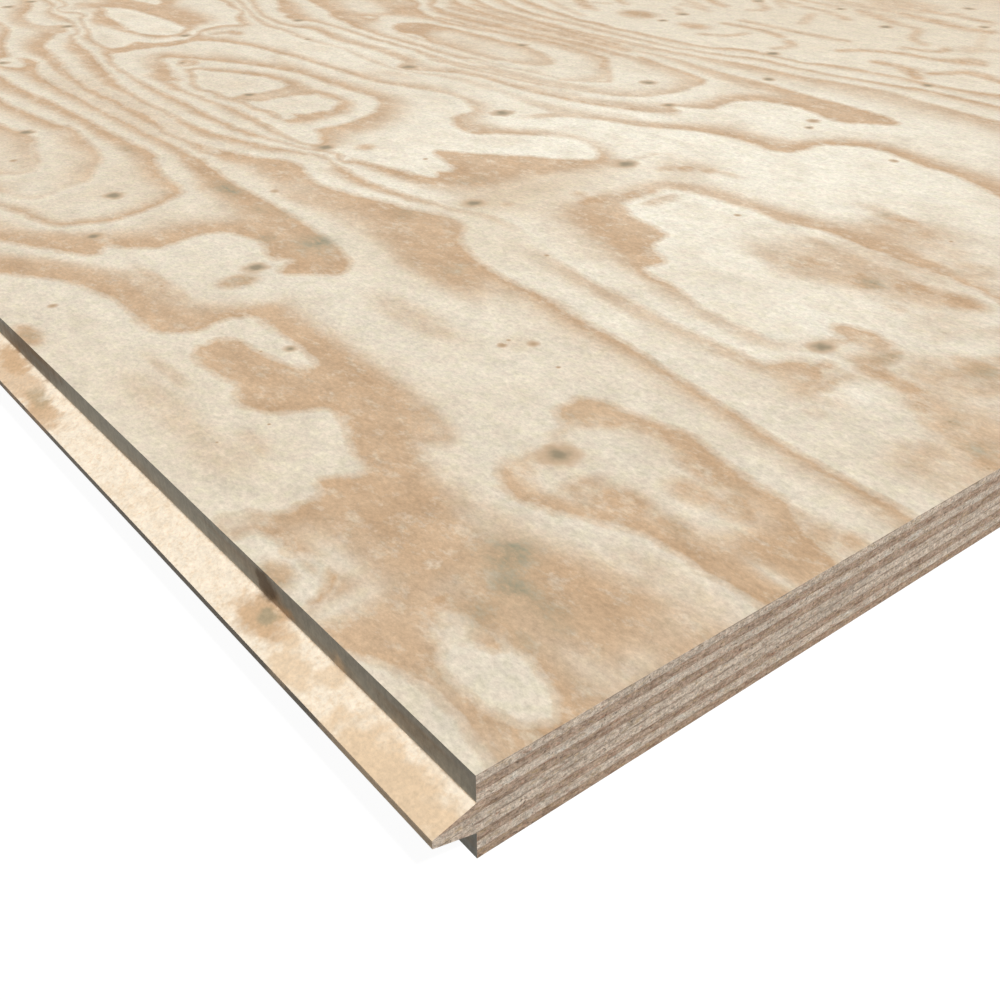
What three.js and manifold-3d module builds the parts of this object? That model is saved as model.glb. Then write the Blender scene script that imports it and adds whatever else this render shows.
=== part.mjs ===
// A tongued-and-grooved sheet of softwood plywood: nine veneers, each with its grain across
// the grain of the next, glued into one sheet, sawn square and milled along both long sides.
//
// Millimetres. +Y runs along the sheet, with the grain of its face, and +Z is up. The tongue
// points to -X and the groove opens to +X. The origin is on the underside, in the middle of
// the sheet's overall length and width. Every veneer is modelled where it lies in the sheet.

import * as THREE from 'three';
import { mergeVertices } from 'three/addons/utils/BufferGeometryUtils.js';
import Module from 'manifold-3d';

const wasm = await Module();
wasm.setup();

// ---------- Driving dimensions ----------

// The sheet, square at both ends. The laying width runs from shoulder to shoulder: it is
// what the sheet covers once its tongue is in its neighbour's groove.
const SHEET_LENGTH = 2440;
const LAYING_WIDTH = 1210;

// The veneers: three thinner ones above and below the tongue, three thicker ones in it.
const OUTER_VENEER = 2.25;
const INNER_VENEER = 2.5;

// The tongue, centred in the thickness, with sloped flanks and a narrow flat nose.
const TONGUE_REACH = 9.5;
const TONGUE_ROOT_THICKNESS = 7.5;
const TONGUE_NOSE_THICKNESS = 2;

// What the groove leaves free round a seated tongue, measured up from each flank and
// straight out from the nose.
const FLANK_CLEARANCE = 0.2;
const NOSE_CLEARANCE = 0.75;

// The radius that the cutters leave on the tongue's nose and in the bottom of the groove.
const CUTTER_RADIUS = 0.25;
const SEGMENTS_PER_ROUND = 4;

// How far the cutters run past the wood, so that none of their faces lies in one of its.
const CUTTER_OVERRUN = 5;

// ---------- Lay-up ----------

// From the underside up. A long veneer has its grain along the sheet, a cross one across it.
const LONG = 'along the sheet';
const CROSS = 'across the sheet';
const LAY_UP = [
  { name: 'back_veneer', thickness: OUTER_VENEER, grain: LONG, color: 0xb39a80 },
  { name: 'lower_cross_veneer', thickness: OUTER_VENEER, grain: CROSS, color: 0xbcab9a },
  { name: 'lower_long_veneer', thickness: OUTER_VENEER, grain: LONG, color: 0xa6917d },
  { name: 'lower_inner_cross_veneer', thickness: INNER_VENEER, grain: CROSS, color: 0xb8a796 },
  { name: 'core_veneer', thickness: INNER_VENEER, grain: LONG, color: 0xbbab9b },
  { name: 'upper_inner_cross_veneer', thickness: INNER_VENEER, grain: CROSS, color: 0xa38f7d },
  { name: 'upper_long_veneer', thickness: OUTER_VENEER, grain: LONG, color: 0xbfb2a4 },
  { name: 'upper_cross_veneer', thickness: OUTER_VENEER, grain: CROSS, color: 0xa38f7d },
  { name: 'face_veneer', thickness: OUTER_VENEER, grain: LONG, color: 0xe6d8bf },
];

const SHEET_THICKNESS = LAY_UP.reduce((total, veneer) => total + veneer.thickness, 0);
const OVERALL_WIDTH = LAYING_WIDTH + TONGUE_REACH;

const NOSE_X = -OVERALL_WIDTH / 2;
const TONGUE_SHOULDER_X = NOSE_X + TONGUE_REACH;
const GROOVE_SHOULDER_X = TONGUE_SHOULDER_X + LAYING_WIDTH;
const MID_Z = SHEET_THICKNESS / 2;

// ---------- Solids ----------

// A closed three.js geometry as a solid that can be cut.
function solidOf(geometry) {
  geometry.deleteAttribute('normal');
  geometry.deleteAttribute('uv');
  const welded = mergeVertices(geometry);
  return new wasm.Manifold(new wasm.Mesh({
    numProp: 3,
    vertProperties: new Float32Array(welded.attributes.position.array),
    triVerts: new Uint32Array(welded.index.array),
  }));
}

// A solid as a three.js geometry with flat faces.
function geometryOf(solid) {
  const { vertProperties, triVerts } = solid.getMesh();
  const welded = new THREE.BufferGeometry();
  welded.setAttribute('position', new THREE.BufferAttribute(new Float32Array(vertProperties), 3));
  welded.setIndex([...triVerts]);
  const geometry = welded.toNonIndexed();
  geometry.computeVertexNormals();
  return geometry;
}

// One veneer before the milling, as wide as the sheet with its tongue. Its two faces are set
// to the very heights that its neighbours use, so that glued faces lie in one plane.
function veneerBlank(underside, topside) {
  const box = new THREE.BoxGeometry(OVERALL_WIDTH, SHEET_LENGTH, 1);
  const corners = box.attributes.position;
  for (let i = 0; i < corners.count; i += 1) {
    corners.setZ(i, corners.getZ(i) > 0 ? topside : underside);
  }
  return solidOf(box);
}

// ---------- Edge profiles ----------

// A profile is drawn from its shoulder: x is the distance out of the shoulder, or into it for
// the groove, and y is the height above the middle of the sheet. Tongue and groove have the
// same slope, and their ends have the same radius.
const TONGUE_ROOT = TONGUE_ROOT_THICKNESS / 2;
const TONGUE_NOSE = TONGUE_NOSE_THICKNESS / 2;
const FLANK_ANGLE = Math.atan2(TONGUE_ROOT - TONGUE_NOSE, TONGUE_REACH);
const GROOVE_MOUTH = TONGUE_ROOT + FLANK_CLEARANCE;
const GROOVE_DEPTH = TONGUE_REACH + NOSE_CLEARANCE;

// The round between a flank and the flat end of its profile: its centre, and the point where
// the flank runs into it.
function endRound(half, reach) {
  const x = reach - CUTTER_RADIUS;
  const flankHeight = half - x * Math.tan(FLANK_ANGLE);
  const y = flankHeight - CUTTER_RADIUS / Math.cos(FLANK_ANGLE);
  const start = new THREE.Vector2(
    x + CUTTER_RADIUS * Math.sin(FLANK_ANGLE),
    y + CUTTER_RADIUS * Math.cos(FLANK_ANGLE),
  );
  return { x, y, start };
}

// What the cutter above the tongue takes away: the shoulder, the flank and the nose's round.
function tongueCutterProfile() {
  const above = MID_Z + CUTTER_OVERRUN;
  const outside = TONGUE_REACH + CUTTER_OVERRUN;
  const round = endRound(TONGUE_ROOT, TONGUE_REACH);
  const profile = new THREE.Shape();
  profile.moveTo(0, above);
  profile.lineTo(0, TONGUE_ROOT);
  profile.lineTo(round.start.x, round.start.y);
  profile.absarc(round.x, round.y, CUTTER_RADIUS, Math.PI / 2 - FLANK_ANGLE, 0, true);
  profile.lineTo(outside, round.y);
  profile.lineTo(outside, above);
  profile.closePath();
  return profile;
}

// The groove's section, with its flanks carried on past the mouth.
function grooveProfile() {
  const mouth = GROOVE_MOUTH + CUTTER_OVERRUN * Math.tan(FLANK_ANGLE);
  const round = endRound(GROOVE_MOUTH, GROOVE_DEPTH);
  const profile = new THREE.Shape();
  profile.moveTo(-CUTTER_OVERRUN, -mouth);
  profile.lineTo(round.start.x, -round.start.y);
  profile.absarc(round.x, -round.y, CUTTER_RADIUS, FLANK_ANGLE - Math.PI / 2, 0, false);
  profile.absarc(round.x, round.y, CUTTER_RADIUS, 0, Math.PI / 2 - FLANK_ANGLE, false);
  profile.lineTo(-CUTTER_OVERRUN, mouth);
  profile.closePath();
  return profile;
}

// A cutter run along a whole long side. Both profiles point to -X as they leave the shoulder,
// and side is 1 for the way up that they are drawn, -1 for the same upside down.
function cutter(profile, shoulderX, side) {
  const run = SHEET_LENGTH + 2 * CUTTER_OVERRUN;
  const bar = new THREE.ExtrudeGeometry(profile, {
    depth: run,
    bevelEnabled: false,
    curveSegments: SEGMENTS_PER_ROUND,
  });
  // The drawing's x goes to -X and its y to +Z or -Z. The run keeps the solid the right way out.
  const place = new THREE.Matrix4().makeBasis(
    new THREE.Vector3(-1, 0, 0),
    new THREE.Vector3(0, 0, side),
    new THREE.Vector3(0, side, 0),
  );
  place.setPosition(shoulderX, -side * run / 2, MID_Z);
  return solidOf(bar.applyMatrix4(place));
}

const cutters = [
  cutter(tongueCutterProfile(), TONGUE_SHOULDER_X, 1),
  cutter(tongueCutterProfile(), TONGUE_SHOULDER_X, -1),
  cutter(grooveProfile(), GROOVE_SHOULDER_X, 1),
];

// ---------- The sheet ----------

const sheet = new THREE.Group();
sheet.name = 'plywood_sheet';

let height = 0;
for (const { name, thickness, grain, color } of LAY_UP) {
  const underside = height;
  height += thickness;
  const milled = cutters.reduce(
    (wood, edgeCutter) => wood.subtract(edgeCutter),
    veneerBlank(underside, height),
  );
  const material = new THREE.MeshStandardMaterial({ color, roughness: 0.75, metalness: 0 });
  const veneer = new THREE.Mesh(geometryOf(milled), material);
  veneer.name = name;
  veneer.userData.grain = grain;
  sheet.add(veneer);
}

export default sheet;
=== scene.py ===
# %% [markdown]
# # A tongued and grooved plywood sheet
# The real sheet is nine softwood veneers, peeled from the log in one long ribbon and glued with their
# grain crossed. Two things are worth teaching on it: a face veneer whose figure is a cut through the
# growth rings, and a stack of thin boards that are all milled by the same cutter.
# Everything here is in metres, in the same frame as the CAD solids: +Y runs along the sheet, +Z is up.

# %% Load the fixed frame
import math

import bmesh
import bpy
import numpy as np
from mathutils import Matrix, Vector


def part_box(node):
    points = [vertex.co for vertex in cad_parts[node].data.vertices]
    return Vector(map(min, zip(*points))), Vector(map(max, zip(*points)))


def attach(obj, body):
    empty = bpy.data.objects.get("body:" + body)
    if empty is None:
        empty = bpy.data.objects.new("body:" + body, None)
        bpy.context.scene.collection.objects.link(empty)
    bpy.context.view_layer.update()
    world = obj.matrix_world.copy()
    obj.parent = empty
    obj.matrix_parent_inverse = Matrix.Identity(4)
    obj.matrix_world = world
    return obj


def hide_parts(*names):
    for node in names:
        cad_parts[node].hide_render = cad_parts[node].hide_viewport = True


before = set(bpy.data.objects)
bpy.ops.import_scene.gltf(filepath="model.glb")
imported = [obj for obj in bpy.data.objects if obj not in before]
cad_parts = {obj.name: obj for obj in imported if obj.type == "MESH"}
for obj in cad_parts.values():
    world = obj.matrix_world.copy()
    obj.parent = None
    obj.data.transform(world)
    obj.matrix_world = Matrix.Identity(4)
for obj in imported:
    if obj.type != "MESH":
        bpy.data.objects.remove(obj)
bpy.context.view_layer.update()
print("veneers in the frame:", sorted(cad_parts))

# %% [markdown]
# The sizes that this file needs are read off the frame's own solids, so the dressed sheet can't drift
# away from them. Only the cutter's profile is written again, because a box can't give a slope: the
# tongue tapers from 7.5 mm at its root to 2 mm at its nose, and the groove is cut a little wider.

# %% Sizes
MM = 0.001
FACE_LOW, FACE_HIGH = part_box("face_veneer")
CORE_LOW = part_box("core_veneer")[0]
TONGUE_SHOULDER_X = FACE_LOW.x
GROOVE_SHOULDER_X = FACE_HIGH.x
NEAR_END_Y = FACE_LOW.y
SHEET_LENGTH = FACE_HIGH.y - FACE_LOW.y
SHEET_WIDTH = FACE_HIGH.x - FACE_LOW.x
SHEET_TOP = FACE_HIGH.z
MID_Z = SHEET_TOP / 2
TONGUE_REACH = TONGUE_SHOULDER_X - CORE_LOW.x
TONGUE_ROOT_HALF = 3.75 * MM
TONGUE_NOSE_HALF = 1.0 * MM
TONGUE_SLOPE = (TONGUE_ROOT_HALF - TONGUE_NOSE_HALF) / TONGUE_REACH
GROOVE_MOUTH_HALF = TONGUE_ROOT_HALF + 0.2 * MM
GROOVE_DEPTH = TONGUE_REACH + 0.75 * MM
print(f"sheet {SHEET_LENGTH:.3f} x {SHEET_WIDTH:.4f} x {SHEET_TOP:.3f} m")
print(f"tongue {TONGUE_REACH / MM:.1f} mm, groove {GROOVE_DEPTH / MM:.2f} mm")

# %% [markdown]
# The camera hangs low over the near corner on the tongue side and looks along the sheet, so the far
# edges leave the picture. It is written as where it stands and which way it looks and leans, which
# is easier to change than three angles.

# %% Camera
CAMERA_AT = Vector((-0.68265, -1.33025, 0.16710))
LOOKS_ALONG = Vector((0.51978, 0.65436, -0.54923))
FOCAL_LENGTH = 41.68

camera = bpy.data.objects.new("camera", bpy.data.cameras.new("camera"))
bpy.context.scene.collection.objects.link(camera)
camera_right = LOOKS_ALONG.cross(Vector((0, 0, 1))).normalized()
camera_up = camera_right.cross(LOOKS_ALONG).normalized()
turn = Matrix((camera_right, camera_up, -LOOKS_ALONG.normalized())).transposed()
camera.matrix_world = Matrix.Translation(CAMERA_AT) @ turn.to_4x4()
camera.data.lens = FOCAL_LENGTH
camera.data.sensor_width = 36.0
camera.data.clip_start = 0.01
bpy.context.scene.camera = camera
print("camera looks down", round(math.degrees(math.asin(-LOOKS_ALONG.normalized().z)), 1), "degrees")

# %% [markdown]
# Node trees are long to write one call at a time. These small helpers put a node in a tree, set or
# link its inputs, and hand back the socket that the next node needs, so a finish reads from top to
# bottom like a recipe. They serve materials and Geometry Nodes alike.

# %% Helpers for node trees
def put(tree, kind, inputs=None, **settings):
    """Adds a node, sets its settings, then sets or links its inputs."""
    node = tree.nodes.new(kind)
    for name, value in settings.items():
        setattr(node, name, value)
    for key, value in (inputs or {}).items():
        if isinstance(value, bpy.types.NodeSocket):
            tree.links.new(value, node.inputs[key])
        else:
            node.inputs[key].default_value = value
    return node


def sums(tree, operation, first, second=0.0, third=0.0):
    """One step of arithmetic on numbers or sockets."""
    return put(tree, "ShaderNodeMath", {0: first, 1: second, 2: third}, operation=operation).outputs[0]


def span(tree, value, low, high, to_low=0.0, to_high=1.0, smooth=False):
    """Maps low..high to to_low..to_high and stops at both ends."""
    kind = "SMOOTHSTEP" if smooth else "LINEAR"
    ends = {"Value": value, "From Min": low, "From Max": high, "To Min": to_low, "To Max": to_high}
    return put(tree, "ShaderNodeMapRange", ends, interpolation_type=kind).outputs[0]


def tint(red, green, blue):
    """A colour as it is seen on a screen, 0 to 255, as the shader's linear colour."""
    parts = [c / 255 for c in (red, green, blue)]
    return (*[p / 12.92 if p <= 0.04045 else ((p + 0.055) / 1.055) ** 2.4 for p in parts], 1.0)


def grey(level):
    """A grey by its level in linear light."""
    return (level, level, level, 1)


def blend(tree, factor, first, second, kind="MIX"):
    """Mixes two colours; a factor of 0 gives the first."""
    mix = put(tree, "ShaderNodeMix", {0: factor, 6: first, 7: second}, data_type="RGBA", blend_type=kind)
    return mix.outputs[2]


def cloud(tree, grain, across, along, upright, detail=2.0, roughness=0.5, shift=0.0):
    """Soft noise from 0 to 1 whose blotches measure across, along and upright, in metres."""
    moved = {"Location": (shift, shift * 1.7, shift * 0.6), "Scale": (1 / across, 1 / along, 1 / upright)}
    place = put(tree, "ShaderNodeMapping", {"Vector": grain, **moved}).outputs[0]
    noise = {"Vector": place, "Scale": 1.0, "Detail": detail, "Roughness": roughness}
    return put(tree, "ShaderNodeTexNoise", noise).outputs["Fac"]


def parts_of(tree, vector):
    """The x, y and z of a vector."""
    return put(tree, "ShaderNodeSeparateXYZ", {0: vector}).outputs


print("a mid grey of 128 is", round(tint(128, 128, 128)[0], 3), "in linear light")

# %% [markdown]
# One lamp stands high in front of the sawn end, square to it. The pale sky fills the rest, so the face
# comes out at full brightness, the sawn end at about two thirds of it, and the milled shoulders, which
# the lamp only skims, stay dark. The ground is plain and pale: the camera sees it nearly white
# and it still takes the sheet's shadow, while to the sheet it is a duller floor that throws little light.

# %% Floor, sky and lamp
LAMP_FROM = Vector((0.0, -0.5, 0.866)).normalized()
LAMP_STRENGTH = 2.90
SKY_STRENGTH = 0.20
FLOOR_SIZE = 60.0
GROUND_SEEN = 0.95
GROUND_LIT = 0.10
GROUND_BOUNCES = 0.25


def seen_itself(tree):
    """1 for a ray that shows the thing itself, by camera, mirror or glass; 0 for light that bounces."""
    path = put(tree, "ShaderNodeLightPath").outputs
    seen = sums(tree, "MAXIMUM", path["Is Camera Ray"], path["Is Glossy Ray"])
    return sums(tree, "MAXIMUM", seen, path["Is Transmission Ray"])


def floor_material():
    """White to the camera, apart from the shadow; grey to the light that bounces."""
    material = bpy.data.materials.new("pale floor")
    material.use_nodes = True
    tree = material.node_tree
    tree.nodes.clear()
    seen = seen_itself(tree)
    glow = put(tree, "ShaderNodeEmission", {"Color": grey(1), "Strength": GROUND_SEEN}).outputs[0]
    lit = put(tree, "ShaderNodeBsdfDiffuse", {"Color": grey(GROUND_LIT)}).outputs[0]
    bright = put(tree, "ShaderNodeAddShader", {0: glow, 1: lit}).outputs[0]
    dull = put(tree, "ShaderNodeBsdfDiffuse", {"Color": grey(GROUND_BOUNCES)}).outputs[0]
    either = put(tree, "ShaderNodeMixShader", {0: seen, 1: dull, 2: bright}).outputs[0]
    put(tree, "ShaderNodeOutputMaterial", {"Surface": either})
    return material


def sky_world():
    """An even sky: white where the camera looks at it, and a low fill everywhere else."""
    world = bpy.data.worlds.new("studio")
    world.use_nodes = True
    tree = world.node_tree
    tree.nodes.clear()
    seen = seen_itself(tree)
    strength = span(tree, seen, 0, 1, SKY_STRENGTH, 1.0)
    sky = put(tree, "ShaderNodeBackground", {"Color": grey(1), "Strength": strength}).outputs[0]
    put(tree, "ShaderNodeOutputWorld", {"Surface": sky})
    return world


floor_mesh = bpy.data.meshes.new("floor")
reach = FLOOR_SIZE / 2
square = [(-reach, -reach, 0), (reach, -reach, 0), (reach, reach, 0), (-reach, reach, 0)]
floor_mesh.from_pydata(square, [], [(0, 1, 2, 3)])
floor_mesh.materials.append(floor_material())
floor = bpy.data.objects.new("floor", floor_mesh)
bpy.context.scene.collection.objects.link(floor)
bpy.context.scene.world = sky_world()
lamp = bpy.data.objects.new("lamp", bpy.data.lights.new("lamp", "SUN"))
lamp.data.energy = LAMP_STRENGTH
lamp.data.angle = math.radians(6)
lamp.rotation_euler = LAMP_FROM.to_track_quat("Z", "Y").to_euler()
bpy.context.scene.collection.objects.link(lamp)
bpy.context.scene.view_settings.view_transform = "Standard"
print("lamp stands", round(math.degrees(math.asin(LAMP_FROM.z))), "degrees above the floor")

# %% [markdown]
# The figure of a peeled veneer is a map. The knife runs nearly along the growth rings, so each line
# on the face is where one year's dark latewood meets the next year's pale earlywood, like a height
# line on a hillside. So the figure is made as a height field of growth in years: the ring lines of
# the near corner are drawn as paths with their year, and the field is fitted through them.
# A whole number is the crisp side of a ring. Just under it the wood is tan, and it fades to cream
# further down. Points are written as on a polyline, in millimetres from the near tongue-side corner.

# %% Drawn ring lines of the near corner
RING_LINES = [
    # pale field along the tongue side and its crisp border, year 1
    (1, "8,276 14,267 20,260 26,251 29,240 32,230 32,215 31,203 34,195 41,190.5 50,191.5 57,191 "
     "60.5,184 60.5,165 59.5,153 56.5,149 53,154 50,167 49,178 44,182.5 38,181 34,175 33,165 "
     "35,152 31,146 31,140 34,134 42,128 47,126 47,118 43,108 40,98 38,93 27,97 24,91 12,92 6,96 "
     "0,95"),
    (1.22, "24,196 22,170 20,150 22,135 30,122 34,110 22,105 10,104"),
    (1.22, "4,262 10,255 17,246 20,232 22,215"),
    (1.3, "8,230 8,190 6,160 6,130"),
    (1.45, "15,165 15,140 15,120"),
    # tan column beside it
    (0.85, "15,282 24,270 33,256 38,242 40,222 42,205 42,196"),
    (0.88, "41,175 42,165 44,150 44,140 52,130 54,118 48,104"),
    (0.5, "20,288 29,276 39,259 47,245 50,232 51,218 57,205 68,198 76,195"),
    (0.15, "46,258 54,252 60,240 60,228 62,218 70,208 82,203 92,194"),
    (0.12, "58,254 72,252 82,248 85,236 80,216"),
    (1.2, "36,187 46,187 54,186 55,175 55,166 56,157"),
    (0.88, "68,190 67,175 67,150 66,130 64,115 57,104 48,92 44,78 42,62 46,46 50,34 54,18 56,2"),
    (0.88, "40,196 52,196 62,194"),
    (0.45, "76,190 75,165 74,145 74,125 73,112 66,100 57,92 54,82 53,70 54,60 57,46 61,30 64,18 66,2"),
    (0.2, "86,185 84,165 83,140 82,115 72,92 62,80"),
    # faint wisp at 98,155
    (0.45, "98,175 96,155 98,142"),
    (0.2, "88,130 90,105 106,108 112,140 110,165 106,190"),
    # tan patch in the near corner
    (0.88, "14,86 28,84 30,66 32,50 16,48 36,30 40,14 8,42"),
    (0.85, "9,34 16,41 25,41 31,30 31,18 29,4"),
    (1, "0,88 5,88 8,82 7,76 11,71 12,64 9,60 4,57 0,57"),
    (1.15, "3,82 4,76 6,68 2,62"),
    (0.8, "4,92 12,87 20,70 18,58 6,50"),
    (1, "20,37 16,33 12,27 11,18 12,9 16,3 20,2 23,7 25,14 26,22 25,30 22,36 20,37"),
    (1.2, "19,31 18,22 17,12"),
    (1, "1,38 5,28 6,14 4,2"),
    (0.85, "8,26 8,10"),
    # loop round the knot at 80,70
    (0, "88,80 92,86 95,89 104,89 107,84 109,72 112,60 111,50 108,38 107,22 102,14"),
    (0, "73,0 72,14 72,30 68,42 62,52 59,60 60,69 64,75 70,75"),
    (-0.1, "78,4 76,25 74,38 68,50 62,60 64,70"),
    (-0.5, "86,76 84,66 76,66 70,72 67,66 68,60 74,52 80,46 82,36 84,27 90,23 96,27 98,38 100,50 "
     "102,60 99,70 94,76 88,77"),
    (-0.75, "76,60 84,56 88,44 90,34 94,50 95,62 90,70"),
    (-0.12, "98,84 105,74 107,60 105,45 103,30"),
    (-0.15, "90,18 96,10"),
    (0, "70,75 74,79 82,80 88,80"),
    (0.25, "70,84 80,86 92,96 104,97 114,90 117,75 119,55 115,35 110,10"),
    (0.2, "57,64 61,48 67,32 69,12"),
    # first long line, year 1: past the loop, then widening into a flame
    (1, "125,0 126,20 127,40 130,62 133,85 136,105 137,125 139,145 139,165 141,182 147,200 152,206 "
     "158,213 159,221 156,230 152,239 150,250 146,262 143,275 141,285 143,296 147,308 147,317 "
     "143,326 138,333 134,345 130,358 127,372 125,390"),
    (0.7, "120,4 122,20 123,40 126,62 129,85 131,105 131,125 134,145 133,165"),
    (0.4, "116,10 117,40 120,70 123,100 122,125 124,145"),
    (0.85, "128,170 124,182 128,196 132,208 145,220 140,232 140,250 136,270 132,290 134,305 138,318 "
     "132,330 126,345 124,360"),
    (0.55, "119,160 117,175 118,196 122,210 124,225 126,240 124,260 122,280 126,300 128,320"),
    (0.2, "110,180 112,196 117,212 118,230 118,250 118,270 119,290 120,310 121,330 122,345"),
    (1.2, "132,10 134,40 138,70 143,100 145,130 146,160 150,185 158,200 163,215 159.5,232 155,246 "
     "149,268 147,283"),
    # rim of that flame, year 0
    (0, "18,308 24,297 28,289 33,281 37,272 41,267 45,268 49,273 52,269 57,264 62,260 70,261 78,263 "
     "85,260 90,252 92,243 90,236 88,230 92,222 86,218 84,214 89,208 95,203 100,201 105,206 "
     "109,214 111,224 113,238 114,252 115,268 116,285 115,300 116,315 118,330 119,345 119,360"),
    (0.14, "17,300 25,289 31,278 37,267 44,263"),
    (-0.12, "24,306 32,292 40,280 50,278 60,270 74,269 86,268 97,255 100,240 98,222 99,210"),
    (-0.15, "104,222 106,250 107,275 108,295 109,315 112,335 114,350"),
    (-0.5, "36,305 48,292 64,284 80,282 94,276 100,290 100,310"),
    # second long line, year 2
    (2, "157,76 157,90 157,105 158,120 159,140 161,158"),
    (1.75, "153,78 153,100 152,120 154,140 157,158"),
    (1.4, "147,74 148,100 149,130 151,155 156,180"),
    (2.2, "162,150 161,130 161,110 160,90"),
    (2, "165,230 163,242 160.5,258 158.5,270 158,280 159,292 160,303 162,313"),
    (1.85, "160,242 156.5,258 155,270 154.5,282 155.5,295 157,306"),
    (1.3, "147,296 150,310 152,320"),
    (2.3, "169,240 166,258 164,278 164,295"),
    # third long line, year 3, with its arch at 190,190
    (3, "171,80 171,95 172,110 176,122 178,132 179,142 190,143 193,150 198,157 208,161 211,172 "
     "212,182 217,190 222,195 232,194 240,197 246,190 249,180 250,165 251,155 249,146 251,136 "
     "254,126 252,110 251,95 251,80 250,68 247,56"),
    (2.75, "167,82 167,95 168,110 171,124 174,134"),
    (2.45, "163,100 165,120 168,135 172,148 172,165 174,185"),
    (2.88, "184,152 188,165 194,180 200,195 206,182 200,170 214,203 226,200 238,203 248,199 253,186 "
     "254,170 255,150 257,135 259,120 258,100 257,84"),
    (2.55, "179,165 184,185 188,203 205,210 225,209 240,209 253,203 260,188 261,168 262,150"),
    (2.95, "213,207"),
    (3.3, "190,120 200,135 190,90 215,140 225,160 228,180 238,178 240,150"),
    (3.2, "183,110 182,80 196,95 200,70"),
    (3.7, "218,122 226,114 236,118 246,124"),
    (3.74, "222,100 232,104 243,106"),
    (3.68, "226,84 236,86 244,90"),
    (3.72, "232,66 239,68"),
    (3.35, "212,124 210,100 214,80"),
    (2.3, "270,190 272,160 270,140"),
    (2.75, "262,122 272,118 282,116"),
    (2.7, "260,104 272,106 280,108"),
    (2.6, "262,90 272,92 280,95"),
    (2.35, "262,76 272,78"),
    (2.68, "287,129 286,118 285,109"),
    (2.35, "280,125 294,118 280,112"),
    # hook round the knot at 178,69
    (2, "157,74 163,70 168,65 172,60 170,55 162,53 154,51"),
    (1.8, "156,66 162,62 158,57"),
    (1.4, "148,64 142,80 143,50 148,46"),
    (2.2, "168,70 174,64"),
    (3, "187,68 188,73 192,76 197,72 198,65 196,58 191,52"),
    (3.25, "204,76 204,60 200,50"),
    (2.85, "192,71 194,64 190,57 184,55 178,53"),
    (2.45, "186,64 181,62 176,62"),
    (1.75, "176,46 175,36 170,26 166,16"),
    (1.3, "166,46 160,40 152,34 146,26"),
    (1.6, "184,44 186,34 180,26 194,38"),
    (1.85, "200,32 204,36"),
    (1.55, "150,12 156,18 140,6"),
    # far border of the wide cream field, year 2
    (2, "262,308 270,303 280,297 286,289 291,279 295,267 301,257 308,248 312,238 315,225 315,212 "
     "314,205 317,198 325,195 333,196 340,193 347,185 351,176 349,165 346,150 346,138 342,125 "
     "337,113"),
    (2.2, "272,290 280,270 290,250 300,235 304,215 306,190 325,180 338,175 336,155 328,130 300,150 "
     "285,200"),
    (1.82, "292,290 300,270 310,256 319,240 322,222 323,206 340,200 353,186 356,170 352,150 351,135"),
    (1.5, "300,282 308,266 322,254 332,240 332,222 336,208 352,200 362,186 363,165 360,145"),
    (1.25, "312,270 330,262 345,250 345,225 356,212 372,192"),
    # rim of the second flame, year 1
    (1, "296,372 297,355 299,335 303,315 308,300 313,288 318,277 320,270 324,267 329,271 333,279 "
     "337,273 341,267 345,264 352,266 362,267 370,262 375,253 377,243 376,232 373,222 372,215 "
     "376,208 384,198"),
    (0.88, "302,355 304,335 309,315 315,300 321,285 324,276"),
    (0.88, "340,275 350,272 364,273 376,268 382,255 384,240 382,222 384,208"),
    (0.45, "310,325 320,305 330,292 344,284 360,282 376,280"),
    (1.2, "350,255 362,250 365,235 360,222"),
    # cream ridge beyond the arch, year 3
    (3, "168,318 169,305 172,292 176,280 178,270 182,264 186,269 190,266 194,268 197,280 200,288 "
     "203,293 207,288 213,280 221,270 229,262 234,254 240,247 247,242 254,247 259,258 259,270 "
     "254,278 246,288 238,296 231,301 229,308 231,316 237,327 245,333 252,332"),
    (2.85, "163,306 167,290 171,278 174,262"),
    (2.85, "180,258 190,255 202,270 204,282 214,266 224,255 232,246"),
    (2.85, "190,246 205,250 222,244 236,240"),
    (2.6, "182,240 192,236 210,238 228,234"),
    (2.45, "176,222 190,222 208,222 228,220 244,212"),
    (2.85, "262,266 257,282 248,292 240,302 236,310 239,320 245,327"),
    (2.4, "268,262 264,285 254,298 248,308 252,318"),
    (2.3, "262,240 275,250 272,275"),
    (3.3, "182,290 186,310 200,320 215,300 230,280 246,262 218,330"),
    (2.6, "264,213 270,210 275,205"),
    # first eye: its ring, year -1, and the finer lines inside it
    (-1, "33,336 35,330 38,320 39,310 41,304 48,300 60,295.5 71,297.5 82,301.5 90,305.5 94.5,309 "
     "97,317 97.6,326 98,333 100,342 103,352 106.5,359 107.7,365 107.3,373 106.5,381 106.3,390 "
     "106,400 105.8,410 106,420 106,440 105,460 104,480 102,500 102,520 103,540"),
    (-1.12, "94,316 94.5,328 97,342 101,353 104,362 104,375 102,390 102,405 102,420 102,440 101,460 "
     "100,480 98,500 98,520"),
    (-1.25, "60,299 72,301 84,306"),
    (-1.5, "88,318 88,335 92,350 96,365 97,385 97,405 98,425 97,450 95,475 93,500"),
    (-1.65, "46,312 58,306 72,310 82,322 80,338 50,330 62,322"),
    (-0.85, "104,332 107,350 109.5,370 109,390 108.3,410 108.3,440 107.2,470 105,500 105,525"),
    (-0.5, "108,332 111,350 112.3,370 112,390 111.7,410 111.5,440 111,470 109.5,500 110,525"),
    (-2, "71,344 79,357 86,367 90,380 91.5,390 92.5,400 95,415 95,422 91,438 88.5,460 86.5,480 "
     "87,495"),
    (-2.15, "75,356 82,367 86.5,378 88,390 89,402 91.5,416 88,438 85,460"),
    (-1.82, "76,345 84,356 92,370 94,385 96,400 99,418 96,440 92,460"),
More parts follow.
